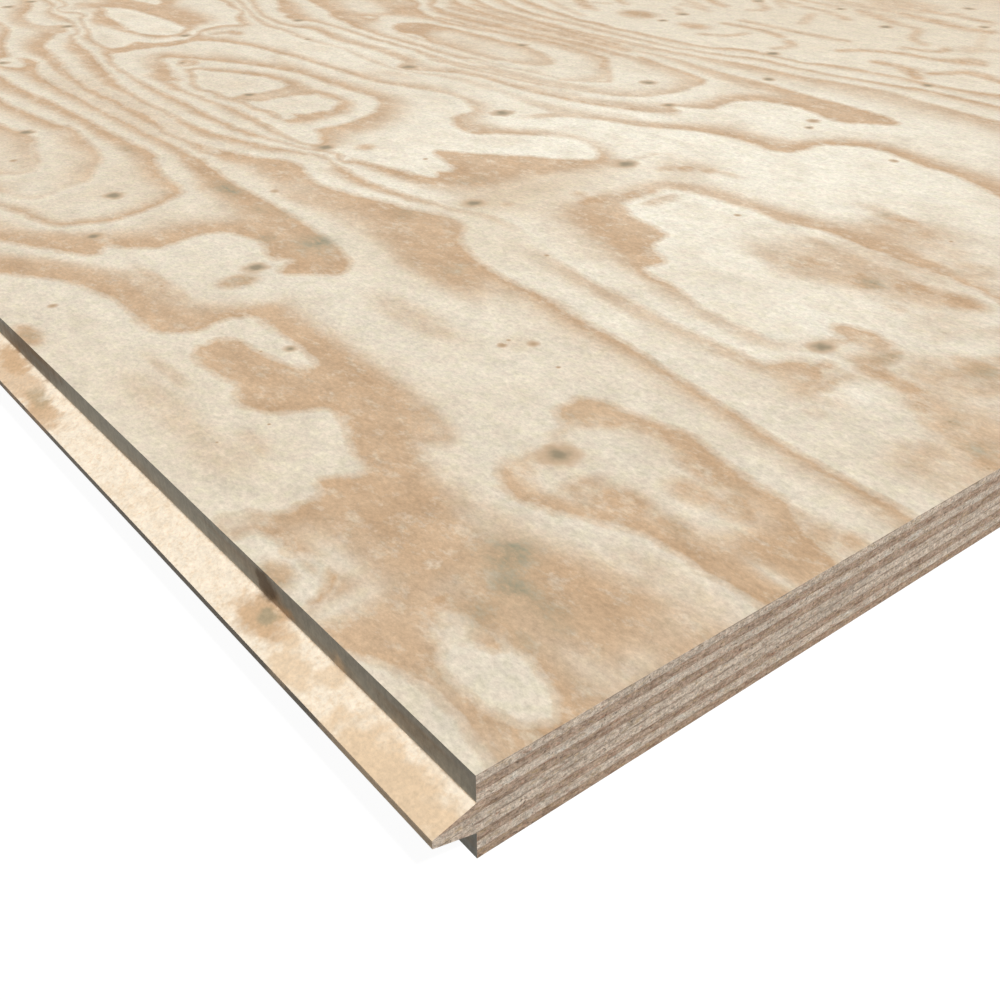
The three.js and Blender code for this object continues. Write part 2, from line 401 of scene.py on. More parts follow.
    (-2.55, "68,366 76,380 78,395 82,412"),
    (-3, "64,380 65,388 67.5,396 70,404 76,417"),
    (-3.12, "61,384 64,394 66.5,403"),
    (-3.35, "54,376"),
    (-2.6, "50,345 58,355 50,365"),
    # bundle of lines between the first eye and the second
    (0, "119.5,360 119,380 118.5,400 118.5,420 117.5,440 118,460 118.5,480 117.5,500 118.5,520 "
     "121,538 126,550 128.5,557 128,566 124,573 120.4,579 122,586 126,600 131,615 136,628 143,643 "
     "147,655 148,670"),
    (-0.14, "115.8,365 115.4,385 115,405 115,420 114.2,440 114.2,460 114.6,480 113.6,500 114.6,520 "
     "117,538"),
    (0.2, "122,365 121,385 120.5,405 120.5,430 120.5,460 121,490 121.5,515 126,538"),
    (0.25, "116,566 118,558 122,564"),
    (1, "129,362 127.5,375 127,390 128,402 129.5,412 131,424 130,440 130,460 129.5,480 130,500 "
     "132,520 135.5,535 139,550 141,565 143,580 146,594 151,604 156,612 162,620 168,627 173,633 "
     "176,640 170,646 165,651 163,660 165,680 169,690 175,700 181,712 185,724 188,735"),
    (0.86, "125,372 123.5,390 124,405 126,425 126,445 126,465 125.5,485 126,505 128,522 131,540 "
     "134,556 136,572 138,586 141,598 148,609 156,617 165,629"),
    (0.88, "160,664 162,682 167,694 173,706"),
    (0.35, "152,640 150,655 152,680 160,700 168,720"),
    (1.15, "131,376 130.5,392 132,406 134,422 133,445 133,465 133,485 134,505 137,522 142,545 "
     "145,560 147,580 151,595 160,608 170,618"),
    (1.2, "170,664 172,680 177,694 183,706"),
    (2, "155,333 150,344 147,354 145.5,362 142,372 140.5,385 139.5,400 140,415 140,440 141,460 "
     "143,480 147,500 151,520 155,540 160,560 162,580 165.5,600 170,615"),
    (1.85, "149,338 145,350 142,360 138.5,372 136.5,388 136,402 137,420 137,440 137.5,460 139,480 "
     "142,500 146,520 150,540 155,562 157,582"),
    (2.2, "153,345 150,356 147,368 145,385 144,400 144,420 144,440 145,460 147,480 151,498"),
    (3, "159,342 157,352 155.5,362 154,374 153.3,388 153,400 154,420 154.3,440 153.8,460 154.5,480 "
     "156,500 158,520 161.5,538 166,546 174,550 186,552 200,549 212,550 219,552 224,548 229.5,539 "
     "235,527 237.5,516 239,503 240.5,490 242.5,479 243.5,465 244.5,452 245.5,440 246,428 246,417 "
     "248,405 252,394 256,384 260,372 262,362 261,350 257,340 252,332"),
    (2.82, "155,343 152.5,356 150.5,370 149.5,388 149.5,402 150.5,420 151,440 151,460"),
    (3.25, "160,362 159,380 158,400 159,420 159,440 158,460 158,480"),
    (2.9, "164,551 172,556 184,559 198,557 210,558 220,560 228,551 233.5,539 237.5,528 240,516 "
     "241.5,503 243,490 245,478 246,464 247,450 248,436 248.5,420 250.5,407 254.5,396 258.5,386"),
    (3.45, "234,505 235,490 236,475 237,460 237.5,445 237.5,430 239,415 241,400 242,388"),
    (4, "164,338 164.5,355 165.5,370 166.5,385 167.7,400 167,412 166,422 164,440 165,460 170,478 "
     "177,496 182,512 186,522 192,519 200,507 208,494 215,480 221,465 225.5,450 226.5,438 227,420 "
     "228,400 230,388 228,375 222,366 212,358 200,353 190,351 180,352 177,346 172,336 167,332 "
     "164,338"),
    (3.88, "182,348 195,347 208,351 218,358 227,368 233,380 232,400 230.5,420 229.5,440 226,458 "
     "220,474 213,488 205,502 196,516 188,529 181,521 176,507 170,493 164,478 160.8,460"),
    (3.85, "186,343.5 200,344"),
    (3.6, "186,336 202,336 216,344 228,354 238,368 239,385"),
    (3.3, "188,326 206,326 222,334 236,346 246,360 248,378"),
    (3.5, "186,538 176,530 168,508 160,482 208,518 218,500 228,480"),
    (3.22, "163,500 167,520 174,538 190,544 207,541 218,531 226,514 232,495 236,475"),
    (4.15, "171,348 171,362 171,378 171,400 170,420 168,440 169,456 174,474 181,492 186,508 190,511 "
     "197,501 205,488 212,475 218,460 222,446"),
    (4.2, "190,358 205,361 216,370 222,380 222,395 221,412 221,430"),
    (4.86, "176,372 186,368 198,369 209,374 215,384 216,398 214,415 213,428 214,440 212,452 208,462 "
     "200,474 193,484 188,491 183,486 177,476 170.5,462 169,450 170,438 173,425 175,410 174,395 "
     "174,382 176,372"),
    (5, "178,395 180,385 187,378.5 197,377 206,381 211,390 210.5,400 207,406 200,409 190,410 181,406 "
     "178,395"),
    (5.3, "186,394 196,392 203,397 190,402"),
    (4.9, "184,415 196,416 206,414"),
    (5, "172,450 173,438 177,428 184,425 196,425 205,428 209,438 209,448 205,458 200,468 195,478 "
     "188,485 182,478 176,466 172,450"),
    (5.35, "182,442 192,436 200,442 196,456 188,468 183,456"),
    (4.5, "217,452 209,468 201,481 190,499 184,494"),
    # round the cream lens and beyond it
    (3.3, "176,575 180,590 184,610 188,630 200,570"),
    (4, "214,577 207,583 202.5,592 201.5,602 203,616 205.5,630 207,645 208.5,658 212,668 219,678 "
     "225,672 228,662 230,645 231.5,625 232,608 229.5,594 225,583 219,576 214,577"),
    (4.3, "211,600 215,620 217,640 219,660 222,640 222,610 216,588"),
    (3.9, "206,577 199,588 197,602 199,618 201,634 203,650 204,664 210,677 218,686 228,682 234,668 "
     "236,645 238,620 236,600 231,586"),
    (3.85, "246,600 250,620 250,640 246,656 240,680 228,696 214,694"),
    (3.5, "258,602 261,620 260,640 258,655 196,690 206,705 222,712 192,645 192,620"),
    (4, "243,690 244,682 247,670 249,667 252,673 256,682"),
    (3.9, "246,662 256,670 261,680 240,676"),
    (3.2, "268,660 270,640 270,622 206,720"),
    (3, "262,578 265,590 270,600 277,608 281,616 281,624 284,636 287,646"),
    (2.88, "266,586 273,598 281,608"),
    (2, "184,648 185,662 187,680 190,694 193,706 198,716"),
    (2.14, "188,664 190,680 193,694 197,706"),
    (1.85, "181,664 183,680 186,694 190,707"),
    (2.6, "196,664 198,680 200,700"),
    # dark fleck at 250,560
    (2.4, "234,570 256,570 256,556 244,549"),
    # cream field between the second eye and the third, years 2 and 1
    (2.5, "258,410 264,395 268,380 268,362 268,345"),
    (2.3, "256,440 256,470 254,500 250,525 244,540 258,540"),
    (2.25, "276,340 274,400 268,430 266,455 272,480 268,505 266,530 270,548 262,565"),
    (2, "281,310 281,330 281,350 282,370 281,390 277,405 273,414"),
    (1.9, "285,318 285,340 286,362 285,385"),
    (1, "275,422 286,408 291,398 294,385 296,372"),
    (0.88, "288,412 294,402 298,388 300,372"),
    (1.35, "290,330 290,350 290,370 287,390"),
    (1, "283,434 285,447 286,460 286,475 284,490 283,505 284,515 287,528 287,540 283,550 281,558"),
    (0.85, "290,440 291,458 291,475 289,492 288,507 291,525 292,540"),
    (0.3, "296,432 298,455 297,475 295,500 297,525"),
    (1.2, "279,440 280,460 280,480 279,505 280,530"),
    # third eye
    (0, "298,562 301,553 302,540 302,520 301,500 302,480 303,460 302,445 300,430 300,420 302,410 "
     "306,395 308,375 311,355 316,338 320,322 325,310 332,302 342,298 352,297 368,299 380,303 "
     "383.5,310 385,322 387,335 388.5,348 390,360 391,375 390,395 389,415 388,440 386,460 384,480 "
     "382.5,500 383,525 386,538 392,552 398,561"),
    (-0.12, "305,430 304.5,445 305.5,460 304.5,480 303.5,500 304.5,520"),
    (-0.14, "306,410 310,396 312,376 315,358 320,341 324,326 329,314 336,306 346,302 358,302 370,304 "
     "378,309 380,322 383,340 384,356 386,375 385,395 384,420 383,445 381,467 379,487 378,505 "
     "378.5,526 382,542 388,556"),
    (-0.5, "314,410 318,390 319,370 324,350 330,332 338,318 350,312 364,314 372,325 377,345"),
    (-0.75, "309,430 309,460 308,490 308,520 309,545"),
    (-0.8, "344,326 356,334 366,346 378,360"),
    (-1, "334,622 331,611 328.5,600 326,584 321,571 315.5,561 315.5,548 313,535 310,520 310,500 "
     "310.5,480 310.5,460 311,440 312,425 313,410 315,395 315,375 318,358 328,347 342,338 352,345 "
     "360,352 370,365 376,376 377,390 377,404 379,418 378.5,432 376,445 372,458 369,472 367,487 "
     "366,502 366.5,518 370,535 376,550 385,562"),
    (-1.12, "366,366 372,377 373,390 372.5,405 375,420 374.5,434 371.5,446 367.5,458 364.5,472 "
     "362.5,488 361.5,505 362.5,520 366,538 372,554"),
    (-1.12, "340,617 337,609 334,600 332,586 327,573 320,560 319,548 316.5,535 313.5,520 313,500 "
     "313,480 313.5,460 314,440"),
    (-1.6, "319,430 319,460 318.5,490 320,515 322,375 334,360 346,356 358,372 366,390 368,410"),
    (-1.3, "333,565 338,588 328,548"),
    (-1.22, "343,608 322,538 362,560 366,575 372,590"),
    (-1.68, "345,534 352,552 353,575 355,592 335,530"),
    (-1.7, "365,460 363,440"),
    (-2, "328,400 331,388 338,381 346,381 352,390 356,402 359,415 361,430 360.5,445 358.5,460 "
     "357.5,480 356,500 351,512 344,519 336,519 330,514 326,505 324,485 322.5,460 323.5,440 "
     "325,420 328,400"),
    (-2.14, "334,392 341,386 348,391"),
    (-2.15, "356,430 356,448 354,466 353,486 330,505 338,513 347,510 326,470 327,450"),
    (-1.88, "330,519 341,526 352,520"),
    (-2.5, "334,420 340,440 340,465 336,490 344,490 348,420 334,408"),
    (0.14, "394,345 395,365 395,385 394,410 393,440 391,465 388.5,490 388.5,520 391,538 397,554"),
    # far side of the second flame and the bundle beyond it
    (1, "384,198 390,194 395,199 398,210 399,225 399.5,245 400,262 402,280 401.5,300 402,320 404,340 "
     "405,355 403,370 401.5,390 401,415 401,440 400.5,465 401,490 402,510 405,530 408,548"),
    (0.86, "389,205 393,220 394,240 394.5,262 396,285 396.5,310 398.5,332 400.5,352 399,375 "
     "397.5,400 397,430 397,460 396.5,490 397.5,512 400.5,532 404,550"),
    (0.6, "388,262 388,290 391,315"),
    (1.2, "404,215 405,245 406,270 407,300 408,325 409,345 408,365"),
    (1.6, "420,215 420,250 418,280 414,310 413,335 411,360 408.5,385 407.5,410 407,440 407,470"),
    (2, "435,222 436.5,234 434.5,250 431.5,264 428.5,276 427,292 426.5,308 424.5,320 421.5,331 "
     "419.5,342 417.5,356 415,370 412.5,385 412,410 411,440 411,465 411.5,490 413,508 416,525 "
     "421,542"),
    (2.15, "439,240 437.5,256 434.5,275 432,295 430.5,315 426,330 423,345 420,360 417,380 416,410 "
     "416,440 416,470"),
    (3, "454,226 451,234 448.5,245 446,257 443.5,268 441.5,280 440.5,293 441.5,308 441,320 438,328 "
     "433.5,336 429.5,348 426.5,360 424.5,375 424,400 423.5,430 423.5,460 425,490 428,510 432,525 "
     "437,540"),
    (3.15, "455,245 452,262 448,278 446,295 446,312 442,330 436,342 431,356 428,375 427,400 "
     "426.5,430 427,460"),
    (4, "452,318 453,305 451,292"),
    (3.55, "434,356 431,385 429.5,420 429,450 431,475 434,500"),
    (4, "442,350 438.5,365 437.5,385 436.5,405 434.5,425 434,445 435,465 438,482 441,497 445,513 "
     "450,530"),
    (4.15, "460,300 460,330 452,360 446,390 443,420 443,450 448,480 465,280 468,255 470,220"),
    (4.2, "458,372 462,346 475,345 486,300 478,285 462,420 486,426 474,424 462,475 480,480"),
    (4.29, "468,458 475,456 481,450 479,442 470,440 467,449"),
    (4.26, "475,412 475,404 476,396 475,389"),
    (4.26, "464,374 470,369 479,367"),
    (4.3, "474,243 480,247 483,254"),
    (4.24, "468,236 490,262 494,275"),
    (4.28, "484,242 490,239 497,236 500,228 499,218"),
    (4.27, "494,303 500,300 505,292"),
    (4.26, "508,280 511,268"),
    (4.3, "514,256 518,248 524,242"),
    (4.27, "511,246 526,232"),
    (4.2, "494,250 502,262 508,236 536,254 530,280 520,300"),
    (4.26, "494,345 498,360 499,378"),
    (4.27, "510,345 513,325 516,308 511,365 509,385"),
    (4.22, "504,350 504,330 504,375 522,340 530,325 524,370 535,390 520,400 506,410"),
    (4.29, "531,268 537,267 542,270"),
    (4.27, "542,293 547,298 553,302"),
    (4.29, "548,262 553,258 557,252"),
    (4.2, "556,275 562,290 545,280 556,320 575,305 540,345 562,348"),
    (4.26, "545,412 552,408 546,372 560,375"),
    (4.3, "578,268 590,277 598,284 600,296 601,312 601,326 603,336"),
    (4.2, "590,300 590,318 590,332 612,305 613,320"),
    (4.29, "588,358 584,346 580,334"),
    (4.3, "626,304 629,318 627,330 620,344 632,350 606,352 616,372 628,380 606,396"),
    (4.28, "575,372 578,384 592,372 588,396"),
    (4.2, "566,360 570,400 578,410"),
    (4.28, "535,440 541,446 546,452"),
    (4.27, "500,446 508,455 518,462 524,445"),
    # small arch at 310,600
    (0, "300,586 299,594 302,603 307,612 312,622 317,632"),
    (-0.12, "305,598 310,608 316,620 321,629"),
    (-0.32, "308,584 312,594 316,604 322,617"),
    (-0.72, "316,580 320,592 324,605 329,617"),
    (0.15, "296,606 292,592 290,578 303,618"),
    (1.3, "280,580 284,600 290,618"),
    (0.5, "300,632 306,640"),
]
print("ring lines drawn:", len(RING_LINES))

# %% [markdown]
# A thin-plate spline is the smooth sheet that bends least through all the drawn points, which is
# close to how growth varies in a log. The paths are first walked in short steps along a smooth curve.
# Wood figure is drawn out along the grain, so distances along it count for less.

# %% Points along the drawn lines
STEP = 5.0


def corners(text):
    """The corners of a written path, as x and y in millimetres."""
    return np.array([pair.split(",") for pair in text.split()], float)


def walked(path):
    """Points every few millimetres on a smooth curve through the corners of a path."""
    closed = len(path) > 3 and np.allclose(path[0], path[-1])
    before = path[-2] if closed else 2 * path[0] - path[1]
    after = path[1] if closed else 2 * path[-1] - path[-2]
    line = np.vstack([before, path, after])
    found = [] if closed else [path[-1:]]
    for a, b, c, d in zip(line, line[1:], line[2:], line[3:]):
        count = max(1, round(float(np.linalg.norm(c - b)) / STEP))
        t = (np.arange(count) / count)[:, None]
        bend = (2 * a - 5 * b + 4 * c - d) * t**2 + (3 * b - a - 3 * c + d) * t**3
        found.append(0.5 * (2 * b + (c - a) * t + bend))
    return np.vstack(found)


def drawn_points():
    """All walked points with their year, thinned to one for each small cell."""
    spots, years = [], []
    for year, text in RING_LINES:
        path = corners(text)
        walk = walked(path) if len(path) > 1 else path
        spots.append(walk)
        years.append(np.full(len(walk), float(year)))
    spots, years = np.vstack(spots), np.concatenate(years)
    cell = 2.5 + 0.004 * spots.sum(1)
    _, first = np.unique((spots // cell[:, None]).astype(int), axis=0, return_index=True)
    return spots[first], years[first]


DRAWN_SPOTS, DRAWN_YEARS = drawn_points()
print("points on the ring lines:", len(DRAWN_SPOTS))

# %% [markdown]
# The spline needs one pull for each pin and a tilt for the whole, found by solving one square system.
# Its slope gives the pace, the years that pass in a millimetre, which the finish uses to keep ring
# lines equally crisp where the rings are wide and where they are narrow.

# %% Fit the growth field
ALONG_COUNTS = 0.6
FIT_SCALE = 50.0


def squared(a, b):
    """Squared distances from every point of a to every point of b."""
    apart = (a**2).sum(1)[:, None] + (b**2).sum(1)[None, :] - 2 * a @ b.T
    return np.maximum(apart, 1e-12)


def fitted(spots, years):
    """The pins' weights and the tilt of the sheet that passes through every pin."""
    pins = spots * (1, ALONG_COUNTS) / FIT_SCALE
    flat = np.hstack([np.ones((len(pins), 1)), pins])
    apart = squared(pins, pins)
    system = np.block([[0.5 * apart * np.log(apart), flat], [flat.T, np.zeros((3, 3))]])
    return pins, np.linalg.solve(system, np.concatenate([years, np.zeros(3)]))


def growth_at(places, pins, weights):
    """Years of growth at some places and how many years pass in a millimetre there, in blocks."""
    scale = np.array((1, ALONG_COUNTS)) / FIT_SCALE
    lifts, level, tilt = weights[:-3], weights[-3], weights[-2:]
    years, pace = np.empty(len(places)), np.empty(len(places))
    for start in range(0, len(places), 8000):
        some = places[start : start + 8000] * scale
        apart = squared(some, pins)
        log = np.log(apart)
        years[start : start + 8000] = (0.5 * apart * log) @ lifts + level + some @ tilt
        pull = (log + 1) * lifts
        slope = some * pull.sum(1)[:, None] - pull @ pins + tilt
        pace[start : start + 8000] = np.linalg.norm(slope * scale, axis=1)
    return years, pace


PINS, PIN_WEIGHTS = fitted(DRAWN_SPOTS, DRAWN_YEARS)
print("growth field passes through", len(PINS), "points")

# %% [markdown]
# Knots come in whorls: a pine makes a ring of branches each year, so on the peeled ribbon they stand
# in rows across the sheet, one for each turn of the log. Those of the near corner are listed
# as x, y and radius in millimetres; the rest of the sheet gets rows of the same kind from a fixed seed.

# %% Knots
HAND_KNOTS = [
    (80, 70.7, 5.6), (178, 69, 4.6), (58, 163, 2.2), (79.6, 224, 4.8), (655, 329, 5), (174.4, 229.4, 5),
    (253.6, 229, 6.2), (261.6, 321.5, 6), (167.6, 326, 5.4), (72.4, 322, 4.6), (49, 284.6, 3.4),
    (356, 319.5, 5), (332.5, 282.5, 3.6), (76, 428, 4.6), (185, 424.5, 4), (279, 423.6, 5.8),
    (360, 426.5, 4.6), (354.4, 216, 2.4), (409, 286, 3.8), (455.6, 323, 5), (462, 228, 4),
    (472, 425.6, 4), (496.7, 432, 5), (565, 328, 5), (589, 380, 4), (568, 431.5, 5), (611, 290, 4),
    (220, 570, 5), (295.4, 567, 5), (113, 567, 4), (176, 638, 5), (187, 731, 5), (169, 722, 5),
    (272, 516, 2.2), (189, 507, 2),
]
PIPS = [
    (107, 127, 1.6), (114.5, 122, 2.2), (110.5, 128.5, 0.8), (100, 374.5, 1.4), (364.6, 222, 3.6),
    (343, 162.7, 2.2), (57, 390, 1.8), (123, 288.4, 2.2), (50.4, 166.7, 0.6), (48.5, 175.6, 0.8),
    (110.4, 106.3, 0.8), (61.6, 60.7, 0.5), (110, 54.7, 0.5), (188, 52, 0.6), (193, 170.4, 0.6),
    (186, 170, 0.5), (162, 172, 1), (242.5, 158.6, 1.4), (236, 242.6, 1), (15.6, 235, 1.8),
    (40, 221.6, 0.8), (48.6, 228.6, 0.8), (91, 230.6, 1), (96.6, 245, 1.2), (148.5, 233.5, 0.9),
    (192.4, 285.6, 1.2), (228.6, 88, 1), (280.6, 94.4, 0.8), (168.7, 20.7, 0.7), (156, 1.7, 0.6),
    (79, 30, 0.5), (42.4, 191, 0.6), (32.7, 139, 0.5), (17, 128, 0.4), (31.6, 128, 0.5),
]
print("knots placed by hand:", len(HAND_KNOTS), "and pips, the smallest knots:", len(PIPS))

# %% [markdown]
# All nine veneers are the same thing, a thin board with sawn ends and two milled edges, so one
# Geometry Nodes tree makes them all. It draws a unit square of cells, gives it walls, and only then
# maps it to the real board. The blank comes first: its place across, along and up, each from 0 to 1,
# is all that the mapping needs. Only the two outer faces need the fine square, so every other cap is
# one face.

# %% Inputs of the tree and a blank board
WALL_STEPS = 10
NUMBER_INPUTS = (
    "Underside", "Topside", "Fine share across", "Fine share along", "Power across", "Power along",
    "Eased below", "Eased above", "Saw roughness",
)


def named_inputs(tree):
    """Gives the tree its output and its named inputs, and hands back their sockets."""
    face = tree.interface
    face.new_socket("Geometry", in_out="OUTPUT", socket_type="NodeSocketGeometry")
    kinds = (("Float", NUMBER_INPUTS), ("Int", ("Cells across", "Cells along", "Seed")),
             ("Bool", ("Figure above", "Figure below")),
             ("Material", ("Face finish", "Glued finish", "End finish", "Edge finish")))
    for kind, names in kinds:
        for name in names:
            face.new_socket(name, in_out="INPUT", socket_type=f"NodeSocket{kind}")
    return put(tree, "NodeGroupInput").outputs


def shifted(tree, geometry, offset):
    """The same geometry moved by a fixed step."""
    return put(tree, "GeometryNodeSetPosition", {"Geometry": geometry, "Offset": offset}).outputs[0]


def chosen(tree, switch, if_false, if_true):
    """One geometry or the other."""
    ends = {"Switch": switch, "False": if_false, "True": if_true}
    return put(tree, "GeometryNodeSwitch", ends, input_type="GEOMETRY").outputs[0]


def blank_board(tree, given):
    """A closed box from 0 to 1 each way, with a fine cap only where a figured face is wanted."""
    posts = [sums(tree, "ADD", given[name], 1) for name in ("Cells across", "Cells along")]
    cells = {"Size X": 1.0, "Size Y": 1.0, "Vertices X": posts[0], "Vertices Y": posts[1]}
    grid = put(tree, "GeometryNodeMeshGrid", cells)
    square = shifted(tree, grid.outputs["Mesh"], (0.5, 0.5, 0.0))
    neighbours = put(tree, "GeometryNodeInputMeshEdgeNeighbors").outputs[0]
    rim = sums(tree, "LESS_THAN", neighbours, 1.5)
    border = put(tree, "GeometryNodeMeshToCurve", {"Mesh": square, "Selection": rim}).outputs[0]
    upright = put(tree, "GeometryNodeSetCurveNormal", {"Curve": border}, mode="Z_UP").outputs[0]
    post = put(tree, "GeometryNodeCurvePrimitiveLine", {"Start": (0, 0, 0), "End": (0, 1, 0)}).outputs[0]
    post = put(tree, "GeometryNodeResampleCurve", {"Curve": post, "Count": WALL_STEPS + 1}).outputs[0]
    walls = put(tree, "GeometryNodeCurveToMesh", {"Curve": upright, "Profile Curve": post}).outputs[0]
    plain = put(tree, "GeometryNodeFillCurve", {"Curve": border}, mode="NGONS").outputs[0]
    lifted = [shifted(tree, cap, (0, 0, 1)) for cap in (square, plain)]
    above = chosen(tree, given["Figure above"], lifted[1], lifted[0])
    below = chosen(tree, given["Figure below"], plain, square)
    board = put(tree, "GeometryNodeJoinGeometry")
    for part in (walls, above, below):
        tree.links.new(part, board.inputs[0])
    whole = {"Geometry": board.outputs[0], "Distance": 1e-4}
    return put(tree, "GeometryNodeMergeByDistance", whole).outputs[0]


print("a board's walls have", WALL_STEPS, "rows of faces")

# %% [markdown]
# The cutter's profile is a rule: at a given height it says how far the tongue stands out and how deep
# the groove goes, so each height has a left and a right limit of its own. The same rule serves every
# veneer, which is how the stack is milled true. Between the limits the cells crowd towards the near
# corner by a power, because the fine figure is there.

# %% The cutter's profile and the crowded cells
def cut(tree, from_mid, half_width, depth):
    """How far the cutter reaches at a height, for a slope that starts at half_width from the middle."""
    run = sums(tree, "DIVIDE", sums(tree, "SUBTRACT", half_width, from_mid), TONGUE_SLOPE)
    return sums(tree, "MINIMUM", sums(tree, "MAXIMUM", run, 0.0), depth)


def edge_limits(tree, z):
    """The x of the tongue side and of the groove side at a height."""
    from_mid = sums(tree, "ABSOLUTE", sums(tree, "SUBTRACT", z, MID_Z))
    tongue = cut(tree, from_mid, TONGUE_ROOT_HALF, TONGUE_REACH)
    left = sums(tree, "SUBTRACT", TONGUE_SHOULDER_X, tongue)
    groove = cut(tree, from_mid, GROOVE_MOUTH_HALF, GROOVE_DEPTH)
    return left, sums(tree, "SUBTRACT", GROOVE_SHOULDER_X, groove)


def crowded(tree, share, along, power):
    """Cells that are fine at the start: a straight share, and the rest by a power."""
    rest = sums(tree, "SUBTRACT", 1.0, share)
    far = sums(tree, "MULTIPLY", rest, sums(tree, "POWER", along, power))
    return sums(tree, "MULTIPLY_ADD", share, along, far)


def torn_by_saw(tree, x, along, z, given):
    """How far the saw has torn the end back at a point."""
    lengths = {0: sums(tree, "MULTIPLY", x, 260.0), 1: sums(tree, "MULTIPLY", along, 9.0),
               2: sums(tree, "MULTIPLY_ADD", z, 900.0, given["Seed"])}
    spot = put(tree, "ShaderNodeCombineXYZ", lengths).outputs[0]
    torn = put(tree, "ShaderNodeTexNoise", {"Vector": spot, "Scale": 1.0, "Detail": 2.0}).outputs["Fac"]
    return sums(tree, "MULTIPLY", torn, given["Saw roughness"])


print(f"the flanks slope {math.degrees(math.atan(TONGUE_SLOPE)):.1f} degrees")

# %% [markdown]
# Now the tree itself. It marks each face of the blank with its side, moves every point to its real
# place, and hangs the right finish on each side. Heights crowd towards the glue lines, where the
# finish changes, and the ends stand back by what the saw tore and by the eased arrises.

# %% Geometry Nodes tree for one milled veneer
def veneer_tree():
    """A closed board: unit square, walls, caps, then the cutter's profile."""
    tree = bpy.data.node_groups.new("Milled veneer", "GeometryNodeTree")
    tree.is_modifier = True
    given = named_inputs(tree)
    board = blank_board(tree, given)

    # which side each face is on: 0 end, 1 edge, 2 top, 3 bottom
    place = parts_of(tree, put(tree, "GeometryNodeInputPosition").outputs[0])
    height = sums(tree, "ABSOLUTE", place[2])
    off_centre = sums(tree, "ABSOLUTE", sums(tree, "SUBTRACT", place[0], 0.5))
    on_edge = sums(tree, "GREATER_THAN", off_centre, 0.49999)
    on_top = sums(tree, "GREATER_THAN", height, 0.99999)
    on_bottom = sums(tree, "LESS_THAN", height, 0.00001)
    side = sums(tree, "MULTIPLY_ADD", on_bottom, 3.0, sums(tree, "MULTIPLY_ADD", on_top, 2.0, on_edge))
    stored = {"Geometry": board, "Name": "side", "Value": side}
    known = put(tree, "GeometryNodeStoreNamedAttribute", stored, data_type="FLOAT", domain="FACE")

    # the real place of each point
    swing = sums(tree, "COSINE", sums(tree, "MULTIPLY", height, math.pi))
    rise = sums(tree, "MULTIPLY_ADD", swing, -0.5, 0.5)
    thick = sums(tree, "SUBTRACT", given["Topside"], given["Underside"])
    z = sums(tree, "MULTIPLY_ADD", rise, thick, given["Underside"])
    left, right = edge_limits(tree, z)
    across = crowded(tree, given["Fine share across"], place[0], given["Power across"])
    along = crowded(tree, given["Fine share along"], place[1], given["Power along"])
    x = sums(tree, "MULTIPLY_ADD", sums(tree, "SUBTRACT", right, left), across, left)
    eased = sums(tree, "MULTIPLY", on_bottom, given["Eased below"])
    eased = sums(tree, "MULTIPLY_ADD", on_top, given["Eased above"], eased)
    back = sums(tree, "ADD", torn_by_saw(tree, x, place[1], z, given), eased)
    room = sums(tree, "MULTIPLY_ADD", back, -2.0, SHEET_LENGTH)
    y = sums(tree, "MULTIPLY_ADD", room, along, sums(tree, "ADD", back, NEAR_END_Y))
    spot = put(tree, "ShaderNodeCombineXYZ", {0: x, 1: y, 2: z}).outputs[0]
    moved = {"Geometry": known.outputs[0], "Position": spot}
    shaped = put(tree, "GeometryNodeSetPosition", moved).outputs[0]

    # real mesh, then one finish for each kind of surface
    real = put(tree, "GeometryNodeRealizeInstances", {"Geometry": shaped}).outputs[0]
    side = put(tree, "GeometryNodeInputNamedAttribute", {"Name": "side"}, data_type="FLOAT").outputs[0]
    is_side = [sums(tree, "COMPARE", side, float(number), 0.1) for number in range(4)]
    above = sums(tree, "MULTIPLY", is_side[2], given["Figure above"])
    below = sums(tree, "MULTIPLY", is_side[3], given["Figure below"])
    choices = (("Glued finish", True), ("End finish", is_side[0]), ("Edge finish", is_side[1]),
               ("Face finish", sums(tree, "ADD", above, below)))
    for name, where in choices:
        hung = {"Geometry": real, "Selection": where, "Material": given[name]}
        real = put(tree, "GeometryNodeSetMaterial", hung).outputs[0]
    put(tree, "NodeGroupOutput", {0: real})
    return tree


VENEER_TREE = veneer_tree()
print("tree 'Milled veneer' has", len(VENEER_TREE.nodes), "nodes")

# %% [markdown]
# Peeled softwood has two tones. Earlywood is cream, a little mottled and faintly fibrous. Latewood is
# tan and harder, and a ring ends in a fairly crisp line. The finish reads the growth in years from an
# attribute near the corner, and from slow noise on the rest of the sheet, takes the part after the
# decimal point, and turns it into tone. Colours are written as they are seen on a screen.

# %% Colours of the peeled faces
CREAM = tint(230, 219, 199)
CREAM_BRIGHT = tint(253, 247, 230)
CREAM_DULL = tint(220, 203, 177)
CREAM_PINK = tint(229, 211, 192)
CREAM_GREEN = tint(223, 214, 184)
TAN = tint(208, 178, 145)
TAN_DEEP = tint(193, 161, 127)
KNOT_HALO = tint(200, 171, 139)
KNOT_CORE = tint(138, 128, 104)
PIP_CORE = tint(178, 150, 118)
STAIN_GREY = tint(146, 142, 118)
print("cream in linear light:", [round(part, 2) for part in CREAM[:3]])
print("tan in linear light:", [round(part, 2) for part in TAN[:3]])

# %% [markdown]
# Every finish here is built the same way: start from the place on the object, spread noise of some
# size over it, turn the noise into tone, and end in one dull shader with a little relief. These
# helpers are the steps of that recipe.

# %% Helpers for finishes
def new_finish(name):
    """An empty node tree for a material, and the place on the object that its patterns follow."""
    material = bpy.data.materials.new(name)
    material.use_nodes = True
    tree = material.node_tree
    tree.nodes.clear()
    return material, tree, put(tree, "ShaderNodeTexCoord").outputs["Object"]


